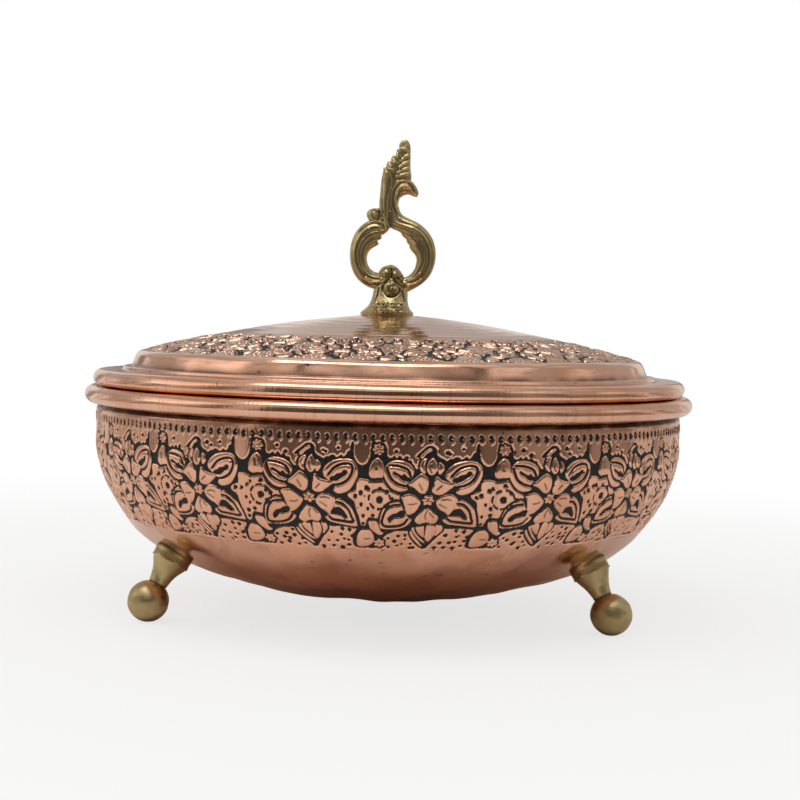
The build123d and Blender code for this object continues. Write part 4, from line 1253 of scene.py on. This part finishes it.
def make_foot(name, turn, seed):
    """A turned brass foot: ball with its filed flat, hollow taper, and a grooved collar fitted to the bowl
    by halving the distance to the bowl's face along each line of the collar."""
    mount_z = side_arc_z - sqrt(side_turn_radius ** 2 - (foot_mount_r - side_arc_r) ** 2)
    length = (mount_z - sqrt(ball_r ** 2 - ball_flat_r ** 2)) / cos(foot_tilt)
    ball = arc((0, length), ball_r, 84, -degrees(acos(neck_of_foot_r / ball_r)), 34)
    ball_end = ball[-1]
    share = np.linspace(0, 1, 30)[1:]
    taper = ball_end + ((collar_r - 0.35, collar_height) - ball_end) * share[:, None]
    taper[:, 0] -= 0.5 * np.sin(pi * share)
    collar_s = np.linspace(collar_height, 0.25, 40)
    grooves = sum(mound(collar_s - at, 0.13) for at in collar_grooves)
    collar = np.stack([collar_r - 0.2 * grooves, collar_s], -1)
    path = np.vstack([ball, ball_end + (-0.12, -0.12), taper, collar])
    a = radians(turn)
    down = np.array([sin(foot_tilt) * cos(a), sin(foot_tilt) * sin(a), -cos(foot_tilt)])
    side = np.array([-sin(a), cos(a), 0])
    front = np.cross(-down, side)
    mount = np.array([foot_mount_r * cos(a), foot_mount_r * sin(a), mount_z])
    azimuth = np.arange(foot_columns) * 2 * pi / foot_columns
    ring = np.cos(azimuth)[:, None] * side + np.sin(azimuth)[:, None] * front
    axis = mount + path[:, None, 1:] * down
    points = axis + path[:, None, :1] * ring
    low, high = np.full(foot_columns, -6.0), np.full(foot_columns, 3.0)
    for _ in range(30):
        middle = (low + high) / 2
        spot = mount + middle[:, None] * down + collar_r * ring
        reach = np.hypot(np.hypot(spot[:, 0], spot[:, 1]) - side_arc_r, spot[:, 2] - side_arc_z)
        within = reach < side_turn_radius
        low, high = np.where(within, middle, low), np.where(within, high, middle)
    top = mount + (low - 0.25)[:, None] * down + collar_r * ring
    rough = wander(np.concatenate([points, top[None]]), 5, seed) * 0.05
    rough += wander(np.concatenate([points, top[None]]), 1.6, seed + 1) * 0.018
    outwards = points - axis
    outwards /= np.maximum(np.linalg.norm(outwards, axis=-1), 1e-6)[..., None]
    points += outwards * np.minimum(rough[:-1], 0.04)[..., None]
    points = np.concatenate([points, top[None]])
    points[..., 2] = np.maximum(points[..., 2], 0)
    taper_shade = 0.6 * mound(share * 11, 1.2)
    shade = np.concatenate([np.zeros(len(ball)), [0.9], taper_shade, 0.5 * np.clip(grooves, 0, 1), [0.9]])
    tip = mount + (length + ball_r) * down
    tip[2] = max(tip[2], 0)
    piece = surface(name + "_casting", points, [foot_brass], low_pole=tip, high_pole=mount - 0.3 * down,
                    values={"hollow": np.repeat(shade[:, None], foot_columns, 1)}, sharp=45)
    return dress(piece, "dish", "cast_brass", name)


def dress_fixings():
    """The CAD's own wires, screws and washers get their metals."""
    steel = plain_metal("plated_steel", bright_steel, dull_steel, 0.25, 0.42)
    iron = plain_metal("drawn_iron", drawn_wire, wire_rust, 0.4, 0.6)
    soft_copper = plain_metal("soft_copper", washer_copper, washer_brown, 0.3, 0.45)
    finishes = {"bowl_rim_wire": iron, "lid_rim_wire": iron, "finial_screw": steel, "foot_screws": steel,
                "finial_washer": soft_copper, "foot_washers": soft_copper}
    for name, finish in finishes.items():
        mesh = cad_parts[name].data
        mesh.materials.clear()
        mesh.materials.append(finish)


white, black = (1, 1, 1), (0, 0, 0)
warm_room = (1.0, 0.94, 0.88)
bright_ceiling, dull_ceiling, ceiling_gap = (0.78, 0.77, 0.75), (0.44, 0.43, 0.42), (0.05, 0.045, 0.04)
table_half = 6.0
table_edge = (0.30, 0.42)


def room_light(x, y):
    """The dim room round the horizon, in the metal: darkest behind the camera, with window light on the
    left, less on the right, and upright streaks of furniture."""
    reach = from_axis(x, y)
    across, along = x / reach, y / reach
    streaks = stretch(grain(place_of(x.tree, across, along), 7, 2), 0.41, 0.57, 0.30, 1.25)
    left = stretch(across, -0.35, -0.9, 0, 0.42)
    right = stretch(across, 0.45, 0.95, 0, 0.18)
    back = stretch(along, 0.0, 0.8, 0, 0.56)
    return blend((left + right + (back + 0.10)) * streaks, black, warm_room)


def make_floor():
    """Pale table top. To the camera it is partly light of its own, so it stays near white; in the metal it
    is duller, darker and warmer right under the dish, a painted shadow with painted bounce light from the
    copper, and beyond the table's edge it gives way to the dim room."""
    corners = [(x * table_half, y * table_half, 0) for x, y in ((-1, -1), (1, -1), (1, 1), (-1, 1))]
    mesh = bpy.data.meshes.new("table_top")
    mesh.from_pydata(corners, [], [(0, 1, 2, 3)])
    floor = bpy.data.objects.new("table_top", mesh)
    bpy.context.scene.collection.objects.link(floor)
    material, shader, place = new_material("pale_table")
    tree = shader.id_data
    x, y = parts_of(place)[:2]
    reach = from_axis(x, y)
    ray = node(tree, "ShaderNodeLightPath")
    camera_ray, glossy_ray = Output(ray, "Is Camera Ray"), Output(ray, "Is Glossy Ray")
    tone = blend(grain(place, 8, 2), (0.93, 0.93, 0.93), (0.90, 0.90, 0.90))
    # Painted shadow: in the metal the table turns darker and warmer within about 7 cm of the axis, the dish's
    # shadow and its bounced copper light
    near = blend(stretch(reach, 0.060, 0.076), (0.76, 0.60, 0.50), (1.0, 0.97, 0.95))
    join(blend(glossy_ray, tone, near), shader.inputs["Base Color"])
    shader.inputs["Roughness"].default_value = 0.7
    past_edge = stretch(reach, *table_edge) * glossy_ray
    own_light = stretch(reach, 0.12, 0.5, 0.74, 1.0)
    shine = blend(past_edge, white, room_light(x, y))
    glow = node(tree, "ShaderNodeEmission", {"Strength": 1.0, "Color": shine})
    share = greater(camera_ray * own_light, past_edge)
    mixed = node(tree, "ShaderNodeMixShader", {0: share, 1: Output(shader), 2: Output(glow)})
    join(Output(mixed), tree.nodes["Material Output"].inputs["Surface"])
    mesh.materials.append(material)


def make_world():
    """White to the camera. As light and in the metal it is a dim room under a bright ceiling, the ceiling
    broken by two dark gaps in front."""
    world = bpy.data.worlds.new("studio")
    bpy.context.scene.world = world
    world.use_nodes = True
    tree = world.node_tree
    aim = Output(node(tree, "ShaderNodeTexCoord"), "Generated")
    x, y, z = parts_of(aim)
    low_edge = stretch(y, 0.1, -0.7) * 0.36 + 0.14
    ceiling = stretch(z - low_edge, 0.0, 0.13)
    turn = x.step("ARCTAN2", y * -1)
    gap_left = stretch((turn + 0.74).step("ABSOLUTE"), 0.03, 0.07, 1, 0)
    gap_right = stretch((turn - 0.84).step("ABSOLUTE"), 0.04, 0.09, 1, 0)
    gaps = greater(gap_left, gap_right) * stretch(z, 0.8, 0.95, 0.85, 0)
    sky = blend(stretch(grain(aim, 2.6, 1), 0.42, 0.62), dull_ceiling, bright_ceiling)
    lit = blend(ceiling, room_light(x, y), blend(gaps, sky, ceiling_gap))
    camera_ray = Output(node(tree, "ShaderNodeLightPath"), "Is Camera Ray")
    background = tree.nodes["Background"]
    join(blend(camera_ray, lit, white), background.inputs["Color"])
    background.inputs["Strength"].default_value = 1.0


def stand(name, data, axes, place):
    """An object of the scene at a place in metres: its own X, Y and Z are the columns of axes."""
    matrix = np.eye(4)
    matrix[:3, :3] = axes
    matrix[:3, 3] = place
    holder = bpy.data.objects.new(name, data)
    holder.matrix_world = Matrix(matrix)
    bpy.context.scene.collection.objects.link(holder)
    return holder


def make_lamp(name, place, aim, size, power):
    """Soft rectangular lamp at a place in metres, facing a point."""
    lamp = bpy.data.lights.new(name, "AREA")
    lamp.shape = "RECTANGLE"
    lamp.size, lamp.size_y = size
    lamp.energy = power
    back = np.array(place, float) - np.array(aim, float)
    back /= np.linalg.norm(back)
    right = np.cross((0, 0, 1), back)
    right /= np.linalg.norm(right)
    stand(name, lamp, np.stack([right, np.cross(back, right), back], -1), place)


def make_camera():
    """Camera at the photograph's viewing angle, turned a little off the front and rolled as it was held."""
    camera = bpy.data.cameras.new("camera")
    camera.lens = lens_length
    camera.sensor_width = sensor_width
    camera.clip_start = 0.01
    rise, turn, roll = radians(view_elevation), radians(view_turn), radians(view_roll)
    spin = np.array([[cos(turn), -sin(turn), 0], [sin(turn), cos(turn), 0], [0, 0, 1]])
    place = np.array([view_aside, -view_distance * cos(rise), view_aim_height + view_distance * sin(rise)])
    ahead = np.array([0, cos(rise), -sin(rise)])
    right = np.array([1.0, 0, 0])
    up = np.cross(right, ahead)
    rolled_right = cos(roll) * right + sin(roll) * up
    rolled_up = -sin(roll) * right + cos(roll) * up
    axes = spin @ np.stack([rolled_right, rolled_up, -ahead], -1)
    bpy.context.scene.camera = stand("camera", camera, axes, spin @ place * mm)


make_camera()
make_world()
make_floor()
make_lamp("overhead_softbox", (-0.1, -0.25, 0.75), aim=(0, 0, 0.08), size=(0.7, 0.35), power=1.8)
make_lamp("left_softbox", (-0.85, -0.1, 0.45), aim=(0, 0, 0.06), size=(0.5, 0.5), power=0.4)
dress_fixings()
make_bowl()
make_lid()
make_finial()
for seed, (name, turn) in enumerate(foot_azimuths.items()):
    make_foot(name, turn, 71 + 2 * seed)
for sector in range(bowl_cells // cells_per_sector):
    make_bowl_band(sector)
for sector in range(lid_cells // cells_per_sector):
    make_lid_band(sector)
bpy.context.scene.view_settings.view_transform = "Standard"
